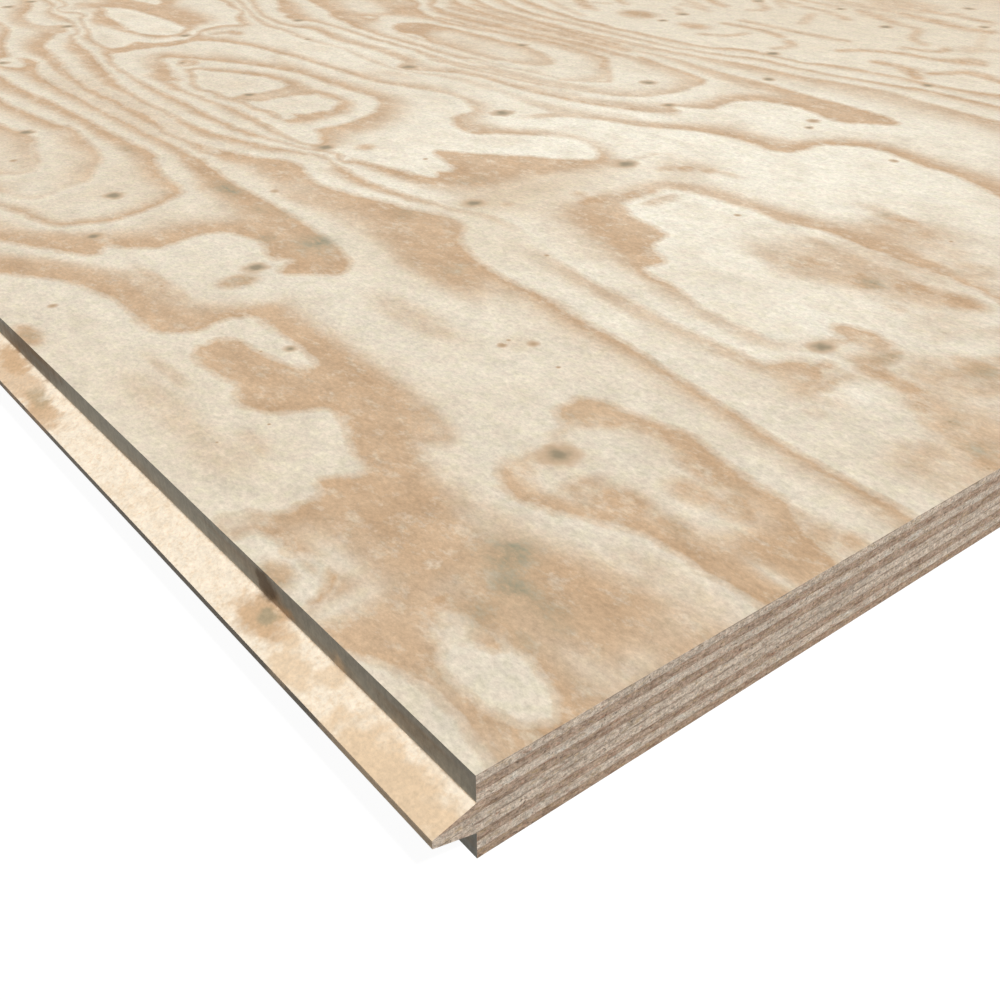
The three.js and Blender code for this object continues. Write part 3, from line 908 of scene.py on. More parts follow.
def tone_ramp(tree, value, stops):
    """A ramp from a number to a number, as pairs of place and value."""
    ramp = put(tree, "ShaderNodeValToRGB", {0: value})
    points = ramp.color_ramp.elements
    while len(points) < len(stops):
        points.new(0.5)
    for point, (place, level) in zip(points, stops):
        point.position = place
    for point, (place, level) in zip(points, stops):
        point.color = grey(level)
    return ramp.outputs["Color"]


def toward(tree, factor, first, second):
    """A number on the way from the first to the second."""
    return sums(tree, "MULTIPLY_ADD", factor, sums(tree, "SUBTRACT", second, first), first)


def carried(tree, name, output="Fac"):
    """An attribute that the mesh carries."""
    return put(tree, "ShaderNodeAttribute", attribute_name=name).outputs[output]


def speckled(tree, colour, noise, least, most):
    """Makes a colour lighter and darker with some noise."""
    return blend(tree, 1.0, colour, span(tree, noise, 0.2, 0.8, least, most), "MULTIPLY")


def finish_wood(tree, colour, height, bump_depth, roughness):
    """The shader that every surface of the sheet ends in: dull wood with a little relief."""
    relief = {"Height": height, "Strength": 1.0, "Distance": bump_depth}
    bump = put(tree, "ShaderNodeBump", relief).outputs[0]
    wood = {"Base Color": colour, "Roughness": roughness, "Specular IOR Level": 0.25, "Normal": bump}
    shader = put(tree, "ShaderNodeBsdfPrincipled", wood).outputs[0]
    put(tree, "ShaderNodeOutputMaterial", {"Surface": shader})


print("every finish follows the object's own coordinates or numbers that its mesh carries")

# %% [markdown]
# One year of growth is a tone that runs from cream to tan and then stops. The ramp below is that
# year. The line where it stops keeps the same width everywhere, so it is first worked out in
# millimetres and then turned into years by the pace. The noise that frays it works the same way.

# %% One year of growth as tone
WITHIN_A_YEAR = (
    (0, 0), (0.2, 0), (0.4, 0.14), (0.55, 0.40), (0.7, 0.70), (0.85, 0.96), (0.93, 1.0), (1.0, 1.0),
)
RING_END_WIDTH = 2.0
FRAY = 2.6


def ring_tone(tree, years, pace, frayed):
    """How much latewood shows for a growth in years; pace is the years that pass in a millimetre."""
    fray = sums(tree, "MULTIPLY", pace, span(tree, frayed, 0, 1, -FRAY, FRAY))
    since = sums(tree, "FRACT", sums(tree, "ADD", years, fray))
    width = sums(tree, "MULTIPLY", pace, RING_END_WIDTH)
    after = span(tree, sums(tree, "DIVIDE", since, width), 0, 1, 0.5, 0.0, smooth=True)
    before = sums(tree, "DIVIDE", sums(tree, "SUBTRACT", 1.0, since), width)
    late = sums(tree, "MAXIMUM", tone_ramp(tree, since, WITHIN_A_YEAR), after)
    return sums(tree, "MULTIPLY", late, span(tree, before, 0, 1, 0.5, 1.0, smooth=True))


def two_tones(tree, grain, late, hand_drawn, shift):
    """Cream and tan by how much latewood shows, each tone a little uneven."""
    mottled = cloud(tree, grain, 0.016, 0.030, 0.01, detail=3.0, roughness=0.6, shift=shift + 5)
    broad = cloud(tree, grain, 0.09, 0.16, 0.1, detail=2.0, shift=shift + 9)
    bright = span(tree, broad, 0.35, 0.65)
    if hand_drawn:
        bright = toward(tree, carried(tree, "drawn"), bright, carried(tree, "bright"))
    cream = blend(tree, bright, CREAM, CREAM_BRIGHT)
    cream = blend(tree, span(tree, mottled, 0.45, 0.75, 0, 0.5), cream, CREAM_DULL)
    if hand_drawn:
        cream = blend(tree, carried(tree, "dull"), cream, CREAM_DULL)
    tinged = cloud(tree, grain, 0.0032, 0.0040, 0.01, detail=2.0, shift=shift + 13)
    cream = blend(tree, span(tree, tinged, 0.47, 0.66, 0, 0.4), cream, CREAM_PINK)
    cream = blend(tree, span(tree, tinged, 0.53, 0.34, 0, 0.4), cream, CREAM_GREEN)
    tan = blend(tree, span(tree, mottled, 0.35, 0.65), TAN, TAN_DEEP)
    return blend(tree, late, cream, tan)


def with_knots(tree, grain, colour, shift):
    """Adds the knot that each face carries: a halo and a core by the distance over the radius."""
    knot = parts_of(tree, carried(tree, "knot", "Vector"))
    here = parts_of(tree, grain)
    across = sums(tree, "SUBTRACT", here[0], knot[0])
    along = sums(tree, "SUBTRACT", here[1], knot[1])
    far = sums(tree, "MULTIPLY_ADD", across, across, sums(tree, "MULTIPLY", along, along))
    far = sums(tree, "DIVIDE", sums(tree, "SQRT", far), knot[2])
    uneven = cloud(tree, grain, 0.004, 0.004, 0.01, detail=3.0, shift=shift + 2)
    far = sums(tree, "ADD", far, span(tree, uneven, 0.2, 0.8, -0.3, 0.3))
    core = blend(tree, carried(tree, "pip"), KNOT_CORE, PIP_CORE)
    colour = blend(tree, span(tree, far, 0.65, 1.28, 0.75, 0.0, smooth=True), colour, KNOT_HALO)
    return blend(tree, span(tree, far, 0.1, 0.85, 0.85, 0.0, smooth=True), colour, core)


print("the last of the year's wood is tan from", WITHIN_A_YEAR[4][0], "of the year")

# %% [markdown]
# The finish joins them. The rings come from slow noise, and near the corner the drawn rings take
# over behind a ragged border. Fine grain at every size, from a blotch to a pore, keeps flat tones from
# looking printed. The relief follows the fibre alone, which is all that a sanded face has.

# %% Finish of a peeled face
YEARS_OF_NOISE = 9.0
PLAIN_PACE = 0.035


def figured_face(name, hand_drawn, shift):
    """Peeled veneer face; hand_drawn says whether the mesh carries drawn growth."""
    material, tree, grain = new_finish(name)
    slow = cloud(tree, grain, 0.12, 0.38, 1.0, detail=1.3, shift=shift)
    frayed = cloud(tree, grain, 0.005, 0.008, 0.01, detail=5.0, roughness=0.7, shift=shift + 3)
    late = ring_tone(tree, sums(tree, "MULTIPLY", slow, YEARS_OF_NOISE), PLAIN_PACE, frayed)
    strong = cloud(tree, grain, 0.13, 0.30, 1.0, detail=1.0, shift=shift + 41)
    late = sums(tree, "MULTIPLY", late, span(tree, strong, 0.34, 0.60, 0.5, 1.0))
    if hand_drawn:
        rings = ring_tone(tree, carried(tree, "growth"), carried(tree, "pace"), frayed)
        rings = sums(tree, "MULTIPLY", rings, carried(tree, "latewood"))
        ragged = span(tree, frayed, 0.32, 0.6, 0.7, 1.25)
        ragged = sums(tree, "MULTIPLY", carried(tree, "patch"), ragged)
        rings = sums(tree, "MAXIMUM", rings, ragged)
        border = cloud(tree, grain, 0.022, 0.07, 1.0, detail=3.0, shift=shift + 43)
        share = sums(tree, "ADD", carried(tree, "drawn"), span(tree, border, 0.3, 0.7, -0.38, 0.38))
        late = toward(tree, span(tree, share, 0.38, 0.62), late, rings)
    flecks = cloud(tree, grain, 0.004, 0.007, 0.01, detail=4.0, roughness=0.75, shift=shift + 17)
    late = sums(tree, "MULTIPLY", late, span(tree, flecks, 0.52, 0.72, 1.0, 0.45))
    colour = two_tones(tree, grain, late, hand_drawn, shift)
    fibre = cloud(tree, grain, 0.006, 0.010, 0.01, detail=6.0, roughness=0.92, shift=shift + 1)
    colour = speckled(tree, colour, fibre, 0.74, 1.26)
    grit = cloud(tree, grain, 0.0012, 0.0020, 0.01, detail=3.0, roughness=0.8, shift=shift + 23)
    colour = speckled(tree, colour, grit, 0.80, 1.20)
    colour = with_knots(tree, grain, colour, shift)
    if hand_drawn:
        ragged = span(tree, flecks, 0.36, 0.64, 0.15, 1.15)
        ragged = sums(tree, "MULTIPLY", carried(tree, "stain"), ragged)
        colour = blend(tree, ragged, colour, STAIN_GREY)
    finish_wood(tree, colour, fibre, 0.00007, 0.62)
    return material


FACE_FINISH = figured_face("figured face", True, 0.0)
BACK_FINISH = figured_face("figured back", False, 20.0)
print("the face finish has", len(FACE_FINISH.node_tree.nodes), "nodes")

# %% [markdown]
# A saw leaves the ends of the veneers as alternate bands. Across the grain the fibres are cut off and
# show as hard fine speckle with a few pores; along the grain they show as short ragged streaks, some
# of them golden or reddish. Glue shows as a dark broken hair line. Each band is one material with its
# own few values.

# %% Sawn end finish
GLUE_HALF = 0.20 * MM
GOLDEN = tint(188, 158, 112)
REDDISH = tint(184, 138, 112)
PORE = tint(96, 82, 70)
GLUE = tint(128, 110, 94)


def cut_face(name, base, dark, pale, streak, patch, glue, limits, shift):
    """Wood cut by a saw: base tone, dark streaks, pale patches, and glue at the two limits in z."""
    material, tree, grain = new_finish(name)
    streaks = cloud(tree, grain, streak[0], streak[0], streak[1], detail=3.0, roughness=0.75, shift=shift)
    patches = cloud(tree, grain, 0.006, 0.006, 0.0018, detail=3.0, roughness=0.7, shift=shift + 7)
    uneven = cloud(tree, grain, 0.018, 0.018, 0.004, detail=2.0, shift=shift + 15)
    tinged = cloud(tree, grain, 0.0022, 0.0022, 0.0007, detail=2.0, roughness=0.7, shift=shift + 21)
    fine = cloud(tree, grain, 0.0009, 0.0009, 0.0009, detail=2.0, roughness=0.95, shift=shift + 4)
    colour = blend(tree, span(tree, streaks, 0.46, 0.66), base, dark)
    colour = speckled(tree, colour, uneven, 0.82, 1.16)
    colour = blend(tree, span(tree, patches, 0.52, 0.70, 0, patch), colour, pale)
    colour = blend(tree, span(tree, tinged, 0.55, 0.72, 0, 0.6), colour, GOLDEN)
    colour = blend(tree, span(tree, tinged, 0.46, 0.29, 0, 0.6), colour, REDDISH)
    colour = speckled(tree, colour, fine, 0.44, 1.56)
    pores = cloud(tree, grain, 0.0010, 0.0010, 0.0008, detail=1.0, shift=shift + 31)
    colour = blend(tree, span(tree, pores, 0.68, 0.74, 0, 0.75), colour, PORE)
    height = parts_of(tree, grain)[2]
    lifted = cloud(tree, grain, 0.003, 0.003, 1.0, detail=3.0, shift=shift + 11)
    height = sums(tree, "ADD", height, span(tree, lifted, 0, 1, -GLUE_HALF, GLUE_HALF))
    broken = cloud(tree, grain, 0.006, 0.006, 1.0, detail=3.0, shift=shift + 12)
    broken = span(tree, broken, 0.35, 0.6, 0.1 * glue, glue)
    for limit in limits:
        near = sums(tree, "ABSOLUTE", sums(tree, "SUBTRACT", height, limit))
        line = span(tree, near, GLUE_HALF * 0.4, GLUE_HALF * 1.6, 1.0, 0.0, smooth=True)
        colour = blend(tree, sums(tree, "MULTIPLY", line, broken), colour, GLUE)
    finish_wood(tree, colour, sums(tree, "ADD", fine, streaks), 0.00012, 0.75)
    return material


print(f"a glue line is {2 * GLUE_HALF / MM:.1f} mm at its widest")

# %% [markdown]
# On the milled edges a sharp cutter leaves the wood smoother and paler, with peach blotches where it
# crosses a ring. The flank's pale tone also holds painted light, brighter and warmer than the cut wood,
# and the shoulders and the nose are coloured darker as painted shade. A knot there is a branch that
# the cutter went through, so it is painted as a ball in space: it darkens the shoulder above the
# tongue and the tongue's flank at once. The marks are listed: colour, centre in millimetres from the
# near corner, how far it reaches each way, strength.

# %% Milled edge finish
# The flank colour is the cut wood's paler tone with painted light in it: brighter and warmer than the
# wood, standing in for light on the sloping flank.
EDGE_PALE_AND_PAINTED_LIGHT = tint(255, 240, 217)
EDGE_PEACH = tint(234, 206, 171)
# Painted shade: the shoulder colours are dark grey and grey-brown, darker than the milled wood, standing
# in for the shade on the shoulders that the lamp only skims.
SHADED_SHOULDER = tint(168, 165, 154)
SHADED_SHOULDER_BROWN = tint(160, 138, 112)
# Painted shade: the tongue's nose is coloured dark, standing in for the shade on its narrow face.
SHADED_NOSE = tint(126, 114, 97)
EDGE_GREY = tint(150, 146, 120)
EDGE_BROWN = tint(212, 176, 136)
EDGE_DARK = tint(100, 82, 62)
EDGE_MARKS = (
    (EDGE_PEACH, (-8, 15, -9.5), (8, 26, 6), 0.95),
    (EDGE_PEACH, (-2, 44, -7), (4, 4, 4), 0.7),
    (EDGE_PEACH, (-7, 52, -9), (4, 8, 4), 0.8),
    (EDGE_PEACH, (-3, 58, -7.5), (3, 3, 3), 0.8),
    (EDGE_BROWN, (-3.5, 69, -8), (5.5, 9, 6), 0.9),
    (EDGE_GREY, (-2.6, 68, -7.3), (2.4, 3.2, 2.6), 0.6),
    (EDGE_DARK, (0, 73, -3.6), (2, 5, 3.6), 0.95),
    (EDGE_BROWN, (-6, 212, -8.8), (6, 24, 6), 0.65),
    (EDGE_BROWN, (-3, 222, -7.5), (3.5, 13, 4), 0.85),
    (EDGE_BROWN, (-7, 188, -9), (4, 13, 4), 0.85),
    (EDGE_GREY, (-5.2, 195, -8.3), (2.5, 7, 3), 0.35),
    (EDGE_DARK, (0, 212, -3), (2, 26, 4), 0.45),
)


def milled_edge(name):
    """Wood cut by the tongue and groove cutter, with painted light on the flank and painted shade on the
    shoulders and nose.
    """
    material, tree, grain = new_finish(name)
    blotch = cloud(tree, grain, 0.005, 0.009, 0.02, detail=5.0, roughness=0.75)
    fine = cloud(tree, grain, 0.003, 0.004, 0.003, detail=6.0, roughness=0.92, shift=4)
    # painted light: the flank is coloured brighter and warmer than the cut wood
    flank = blend(tree, span(tree, blotch, 0.48, 0.75, 0, 0.6), EDGE_PALE_AND_PAINTED_LIGHT, EDGE_PEACH)
    specks = cloud(tree, grain, 0.0016, 0.0020, 0.0016, detail=2.0, roughness=0.8, shift=21)
    flank = blend(tree, span(tree, specks, 0.5, 0.72, 0, 0.6), flank, EDGE_PEACH)
    here = parts_of(tree, grain)
    from_mid = sums(tree, "ABSOLUTE", sums(tree, "SUBTRACT", here[2], MID_Z))
    past_root = sums(tree, "GREATER_THAN", from_mid, TONGUE_ROOT_HALF + 0.25 * MM)
    warm = cloud(tree, grain, 0.02, 0.05, 0.006, detail=3.0, shift=2)
    # painted shade: the shoulders above and below the tongue are coloured dark
    shoulder = blend(tree, span(tree, warm, 0.5, 0.7), SHADED_SHOULDER, SHADED_SHOULDER_BROWN)
    streaks = cloud(tree, grain, 0.0012, 0.0016, 0.004, detail=3.0, roughness=0.8, shift=9)
    shoulder = speckled(tree, shoulder, streaks, 0.72, 1.28)
    colour = blend(tree, past_root, flank, shoulder)
    # painted shade: the nose is coloured dark
    colour = blend(tree, sums(tree, "LESS_THAN", from_mid, TONGUE_NOSE_HALF), colour, SHADED_NOSE)
    corner = Vector((TONGUE_SHOULDER_X, NEAR_END_Y, SHEET_TOP))
    ragged = span(tree, cloud(tree, grain, 0.004, 0.004, 0.004, detail=4.0, shift=6), 0, 1, -0.7, 0.7)
    for mark, centre, reach, strength in EDGE_MARKS:
        centre = corner + Vector(centre) * MM
        off = put(tree, "ShaderNodeVectorMath", {0: grain, 1: centre}, operation="SUBTRACT").outputs[0]
        reach = Vector(reach) * MM
        off = put(tree, "ShaderNodeVectorMath", {0: off, 1: reach}, operation="DIVIDE").outputs[0]
        off = put(tree, "ShaderNodeVectorMath", {0: off}, operation="LENGTH").outputs["Value"]
        off = sums(tree, "ADD", off, ragged)
        colour = blend(tree, span(tree, off, 0.5, 1.2, strength, 0.0, smooth=True), colour, mark)
    colour = speckled(tree, colour, fine, 0.82, 1.18)
    pores = cloud(tree, grain, 0.0008, 0.0010, 0.0008, detail=1.0, shift=31)
    colour = speckled(tree, colour, pores, 0.9, 1.1)
    finish_wood(tree, colour, fine, 0.00010, 0.6)
    return material


def glued_face(name):
    """A veneer face that lies in a glue line, which nobody sees."""
    material, tree, grain = new_finish(name)
    fibre = cloud(tree, grain, 0.002, 0.004, 0.01, detail=3.0)
    colour = blend(tree, span(tree, fibre, 0.3, 0.7), CREAM_DULL, TAN)
    finish_wood(tree, colour, fibre, 0.0001, 0.7)
    return material


EDGE_FINISH = milled_edge("milled edge")
GLUED = glued_face("glued veneer")
print("the milled edge has", len(EDGE_MARKS), "marks and", len(EDGE_FINISH.node_tree.nodes), "nodes")

# %% [markdown]
# Now the nine veneers. The lay-up is a table of a band's look at the sawn end: its tone, its dark
# streaks, the size of the streaks and how much whitish patches show. Only the top and the bottom
# veneer have a fine mesh and a figured face; the others are hidden but for their ends and edges.

# %% The lay-up, from the underside up
PALE_BAND = tint(225, 208, 189)
PALE_STREAK = tint(188, 168, 148)
DARK_BAND = tint(197, 173, 152)
DARK_STREAK = tint(146, 120, 98)
WARM_BAND = tint(192, 167, 144)
WARM_STREAK = tint(148, 119, 94)
WHITISH = tint(232, 226, 212)
SHORT_STREAK = (0.0016, 0.0007)
LONG_STREAK = (0.0036, 0.0007)
LAY_UP = (
    ("back_veneer", WARM_BAND, WARM_STREAK, LONG_STREAK, 0.0, 0.5),
    ("lower_cross_veneer", PALE_BAND, PALE_STREAK, LONG_STREAK, 0.7, 0.4),
    ("lower_long_veneer", DARK_BAND, DARK_STREAK, LONG_STREAK, 0.1, 0.4),
    ("lower_inner_cross_veneer", PALE_BAND, PALE_STREAK, SHORT_STREAK, 0.0, 0.9),
    ("core_veneer", PALE_BAND, PALE_STREAK, LONG_STREAK, 0.2, 0.9),
    ("upper_inner_cross_veneer", DARK_BAND, DARK_STREAK, LONG_STREAK, 0.0, 0.4),
    ("upper_long_veneer", PALE_BAND, PALE_STREAK, LONG_STREAK, 0.7, 0.4),
    ("upper_cross_veneer", DARK_BAND, DARK_STREAK, LONG_STREAK, 0.1, 0.4),
    ("face_veneer", PALE_BAND, PALE_STREAK, SHORT_STREAK, 0.1, 0.8),
)
FINE_GRID = {
    "Cells across": 286, "Fine share across": 0.50, "Power across": 12.0,
    "Cells along": 300, "Fine share along": 0.295, "Power along": 10.0,
}
PLAIN_GRID = {
    "Cells across": 150, "Fine share across": 0.35, "Power across": 5.0,
    "Cells along": 80, "Fine share along": 0.20, "Power along": 3.0,
}
EASED = 0.05 * MM
SAW_ROUGHNESS = 0.08 * MM
NOISE_APART = 3.7
SEEDS_APART = 7
print("bands in the lay-up:", len(LAY_UP))

# %% [markdown]
# Each veneer starts as an empty object that carries the tree as a modifier. Its inputs are set by the
# sockets' identifiers before the object is first evaluated, and the evaluated result becomes a plain
# mesh of its own, so nothing live is handed over. The faces stay flat: smooth shading would round off
# the square arrises that the saw and the cutter leave.

# %% Mill the nine veneers
def plain_mesh(name, values):
    """Runs the tree on an empty object and hands back the plain mesh that comes out."""
    blank = bpy.data.objects.new(f"{name}_blank", bpy.data.meshes.new(f"{name}_blank"))
    bpy.context.scene.collection.objects.link(blank)
    modifier = blank.modifiers.new("mill", "NODES")
    modifier.node_group = VENEER_TREE
    for socket in VENEER_TREE.interface.items_tree:
        if socket.name in values:
            modifier[socket.identifier] = values[socket.name]
    bpy.context.view_layer.update()
    ready = blank.evaluated_get(bpy.context.evaluated_depsgraph_get())
    mesh = bpy.data.meshes.new_from_object(ready)
    bpy.data.objects.remove(blank)
    mesh.name = name
    return mesh


def settle(mesh):
    """Points all faces outwards, keeps them flat and counts the edges that are not closed."""
    work = bmesh.new()
    work.from_mesh(mesh)
    bmesh.ops.recalc_face_normals(work, faces=work.faces)
    for facet in work.faces:
        facet.smooth = False
    open_edges = sum(1 for edge in work.edges if not edge.is_manifold)
    work.to_mesh(mesh)
    work.free()
    return open_edges


def milled_veneer(number, name, base, dark, streak, patch, glue):
    """Makes one veneer with the tree and hands back its object, a plain mesh in the node's place."""
    low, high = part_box(name)
    outer_top, outer_bottom = name == "face_veneer", name == "back_veneer"
    sawn = (base, dark, WHITISH, streak, patch, glue, (low.z, high.z), number * NOISE_APART)
    values = {"Underside": low.z, "Topside": high.z, "Seed": number * SEEDS_APART,
              "Eased above": EASED, "Eased below": EASED, "Saw roughness": SAW_ROUGHNESS,
              "Figure above": outer_top, "Figure below": outer_bottom, "Glued finish": GLUED,
              "Face finish": BACK_FINISH if outer_bottom else FACE_FINISH,
              "End finish": cut_face(f"sawn end {number}", *sawn), "Edge finish": EDGE_FINISH}
    values.update(FINE_GRID if outer_top or outer_bottom else PLAIN_GRID)
    mesh = plain_mesh(name, values)
    piece = bpy.data.objects.new(f"{name}_dressed", mesh)
    bpy.context.scene.collection.objects.link(piece)
    open_edges = settle(mesh)
    print(f"{name}: {len(mesh.polygons)} faces, {open_edges} open edges, {len(mesh.materials)} finishes")
    return piece


veneers = {row[0]: milled_veneer(number, *row) for number, row in enumerate(LAY_UP)}

# %% [markdown]
# Rings alone don't make a real face. Damp leaves grey stains, some fields are bright and some dull,
# latewood is fainter in places, and a knife that skims a ring leaves a blotch of tan. Each of these
# is a soft spot: x and y of its middle, half width, half length and strength, in millimetres.

# %% Listed soft spots
STAINS = (
    (108, 232, 5, 6, 0.6), (96, 245, 2.5, 3, 0.9), (109, 273, 3, 4, 0.8), (110, 301, 3, 6, 0.8),
    (100, 377, 3, 5, 0.6), (114, 262, 3, 7, 0.4), (2, 219, 3, 5, 0.4), (0.5, 71, 2.5, 5, 0.5),
    (70, 217, 6, 4, 0.3), (44.5, 46, 6, 5.5, 1), (37.3, 35, 3.6, 6, 1), (27, 33.5, 4, 5, 0.45),
    (28.5, 22, 2.5, 4, 0.45), (38, 23, 3.5, 4.5, 0.5), (79, 30, 2, 3, 0.4), (101, 33, 3, 4, 0.3),
    (133, 92, 3, 4, 0.35), (131, 181, 5, 4, 0.35), (106, 229, 8, 9, 0.4), (187, 52.5, 4.5, 2.6, 0.75),
    (162, 8, 4, 5, 0.45), (201, 31, 5, 5, 0.6), (169, 20, 2.5, 3, 0.45), (228.5, 88, 3.6, 4.6, 0.8),
    (286, 125, 4, 2.5, 0.5), (148, 236, 5, 5, 0.4), (99, 81, 9, 6, 0.2), (110, 305, 5, 12, 0.25),
    (191, 252, 8, 4, 0.3), (474, 450, 8, 9, 0.25),
)
DULL_PLACES = (
    (15, 140, 45, 60, 0.3), (150, 200, 30, 35, 0.6), (200, 226, 40, 16, 0.9),
    (550, 330, 130, 110, 0.45), (90, 340, 45, 60, 0.35), (115, 215, 14, 60, 0.35),
)
BRIGHT_PLACES = (
    (270, 225, 150, 135, 1), (160, 45, 14, 6, 0.8), (203, 86, 36, 24, 0.8), (228, 170, 30, 46, 1),
    (225, 612, 40, 60, 0.45), (470, 300, 75, 110, 0.4), (272, 470, 50, 90, 0.4),
    (168, 108, 42, 46, 0.5), (31, 62, 10, 12, 0.6), (210, 130, 26, 22, 0.9),
)
FAINT_PLACES = (
    (79, 79, 8, 5, 1), (165, 190, 8, 42, 0.9), (156, 112, 7, 42, 0.4), (170, 105, 6, 30, 0.45),
    (179, 77, 10, 7, 0.9), (264, 309, 8, 6, 0.7), (162, 48, 14, 6, 0.8), (208, 45, 26, 11, 1),
    (52, 345, 20, 13, 0.8), (57, 376, 12, 9, 0.5), (60, 395, 14, 30, 0.5), (80, 375, 10, 25, 0.35),
    (283, 350, 6, 45, 0.5), (4, 94, 6, 5, 0.7), (47, 59, 4, 9, 0.55), (19.5, 32.5, 4.5, 4.5, 0.9),
    (132, 286, 7, 12, 0.35), (492, 355, 14, 50, 0.4), (257, 266, 6, 18, 0.65), (6, 53.5, 11, 3.4, 0.95),
    (14.5, 67, 3.6, 11, 0.9), (33, 8, 4, 12, 0.5), (56, 6, 8, 7, 0.3), (82.6, 5, 1.8, 8, 0.8),
    (27, 44, 6, 5, 0.3), (9, 21, 6, 6, 0.3), (41, 3, 6, 5, 0.5), (4, 4, 5, 5, 0.3),
    (233, 172, 18, 42, 0.6), (195, 418, 24, 8, 0.35), (272, 470, 16, 60, 0.5), (165, 655, 14, 30, 0.35),
    (178, 522, 8, 12, 0.4), (431, 220, 10, 50, 0.3), (109.5, 11, 3, 6, 0.5),
)
FAINT_REGION = (325, 350, 95, 80, 0.42)
TAN_PATCHES = (
    (10.3, 62.8, 2.2, 2.6, 1), (7.6, 60, 2.6, 1.8, 0.95), (4, 57.5, 3, 1.4, 0.8), (8, 69, 1.4, 4, 0.5),
    (1.5, 70.5, 3.6, 5.6, 1), (2, 219, 4.4, 9, 1), (69.5, 217, 7, 5.4, 1), (98, 160, 7, 24, 0.42),
    (98, 148, 6, 9, 0.4), (111, 125, 6, 5.5, 0.3), (136, 141, 4.6, 16, 0.6), (15, 122, 8, 13, 0.3),
    (15, 152, 6, 28, 0.4), (24, 172, 2.5, 16, 0.4), (24, 122, 4, 8, 0.4), (26.8, 32, 3.6, 10, 0.9),
    (9.5, 38, 5.5, 5, 0.85), (22, 42.5, 7, 3, 0.9), (62, 14, 8, 22, 0.4), (58, 5, 9, 9, 0.3),
    (48.5, 225, 4.5, 24, 0.7), (70.5, 172, 4.5, 26, 0.55), (65, 113, 6, 15, 0.8),
    (61, 100, 7, 10, 0.75), (76, 45, 7.5, 10, 0.95), (73.5, 55, 8.5, 6, 0.7), (79, 30, 4.2, 10, 0.85),
    (99.5, 81, 8.5, 7.5, 1), (106, 69, 4, 7, 0.8), (68, 72, 4.5, 6, 0.7), (93, 38, 5, 9, 0.8),
    (95, 27, 5, 8, 0.8), (101, 11, 7, 9, 0.7), (105, 3, 5, 5, 0.8), (102, 75, 6, 5, 0.9),
    (102, 41, 4.6, 13, 0.85), (100.5, 27, 4.8, 9, 0.8), (104, 18, 3.6, 5, 0.6),
    (107.5, 58, 3.5, 12, 0.6), (228, 92, 8, 11, 0.95), (235, 79, 7.5, 11, 0.95), (237, 63, 7, 10, 0.95),
    (219, 73, 4, 6, 0.45), (222, 58, 14, 9, 0.3), (247, 98, 9, 32, 0.5), (228, 98, 15, 30, 0.5),
    (226, 112, 16, 12, 0.75), (275, 115, 17, 12, 0.65), (268, 88, 14, 8, 0.45), (285, 118, 5, 13, 0.85),
    (256, 88, 7, 30, 0.6), (222, 244, 16, 8, 0.75), (190, 250, 10, 12, 0.45), (228, 199, 21, 5, 0.85),
    (212, 203, 9, 6.5, 0.95), (232, 188, 10, 4, 0.6), (213, 211, 4.5, 7, 0.6), (322, 228, 9, 30, 0.55),
    (300, 275, 6, 22, 0.35), (309, 320, 5, 28, 0.35), (323, 275, 5, 8, 0.5), (262, 75, 9, 10, 0.55),
    (194, 25, 9, 7, 0.65), (262, 214, 6, 4.5, 0.75), (268, 209, 6, 5, 0.8), (273, 203, 4.5, 6, 0.7),
    (275.5, 193, 3, 7, 0.5), (264, 231, 5, 2.5, 0.35), (271, 231, 5, 2.5, 0.4), (277, 226, 3, 4, 0.4),
    (186, 53.5, 8.5, 4, 0.95), (177, 49, 4, 8, 0.95), (176.5, 39, 4.5, 8, 0.9), (172, 30, 6, 6.5, 0.85),
    (167, 21, 6.5, 7.5, 0.85), (163, 11, 7.5, 8, 0.85), (160, 3, 9, 7, 0.85), (190, 34, 14, 15, 0.6),
    (201, 33, 6.5, 9, 0.95), (149, 12, 13, 12, 0.55), (161, 59, 9, 8, 0.5), (159, 53, 10, 2.8, 0.7),
    (163, 64, 7, 7, 0.45), (157, 68, 4, 5, 0.5), (146, 46, 4, 4, 0.4), (184, 221, 4, 3.5, 0.6),
    (182, 315, 5, 5, 0.75), (215, 259, 10, 11, 1), (240, 564, 9, 3.6, 0.8), (247.5, 559, 5, 8, 1),
    (382, 450, 12, 85, 0.5), (403, 470, 11, 95, 0.6), (423.5, 440, 3.4, 60, 0.6),
    (474, 449.5, 11, 15, 1), (126, 450, 16, 90, 0.35), (482, 252, 9, 7, 0.6), (503, 226, 5, 12, 0.85),
    (524, 244, 10, 10, 0.85), (551, 259, 10, 8, 0.5), (588, 352, 8, 14, 0.7), (632, 364, 22, 30, 0.65),
    (608, 376, 9, 40, 0.6), (476, 402, 8, 13, 0.85), (518, 248, 6, 10, 0.7),
)
print("soft spots:", len(STAINS + DULL_PLACES + BRIGHT_PLACES + FAINT_PLACES + TAN_PATCHES))
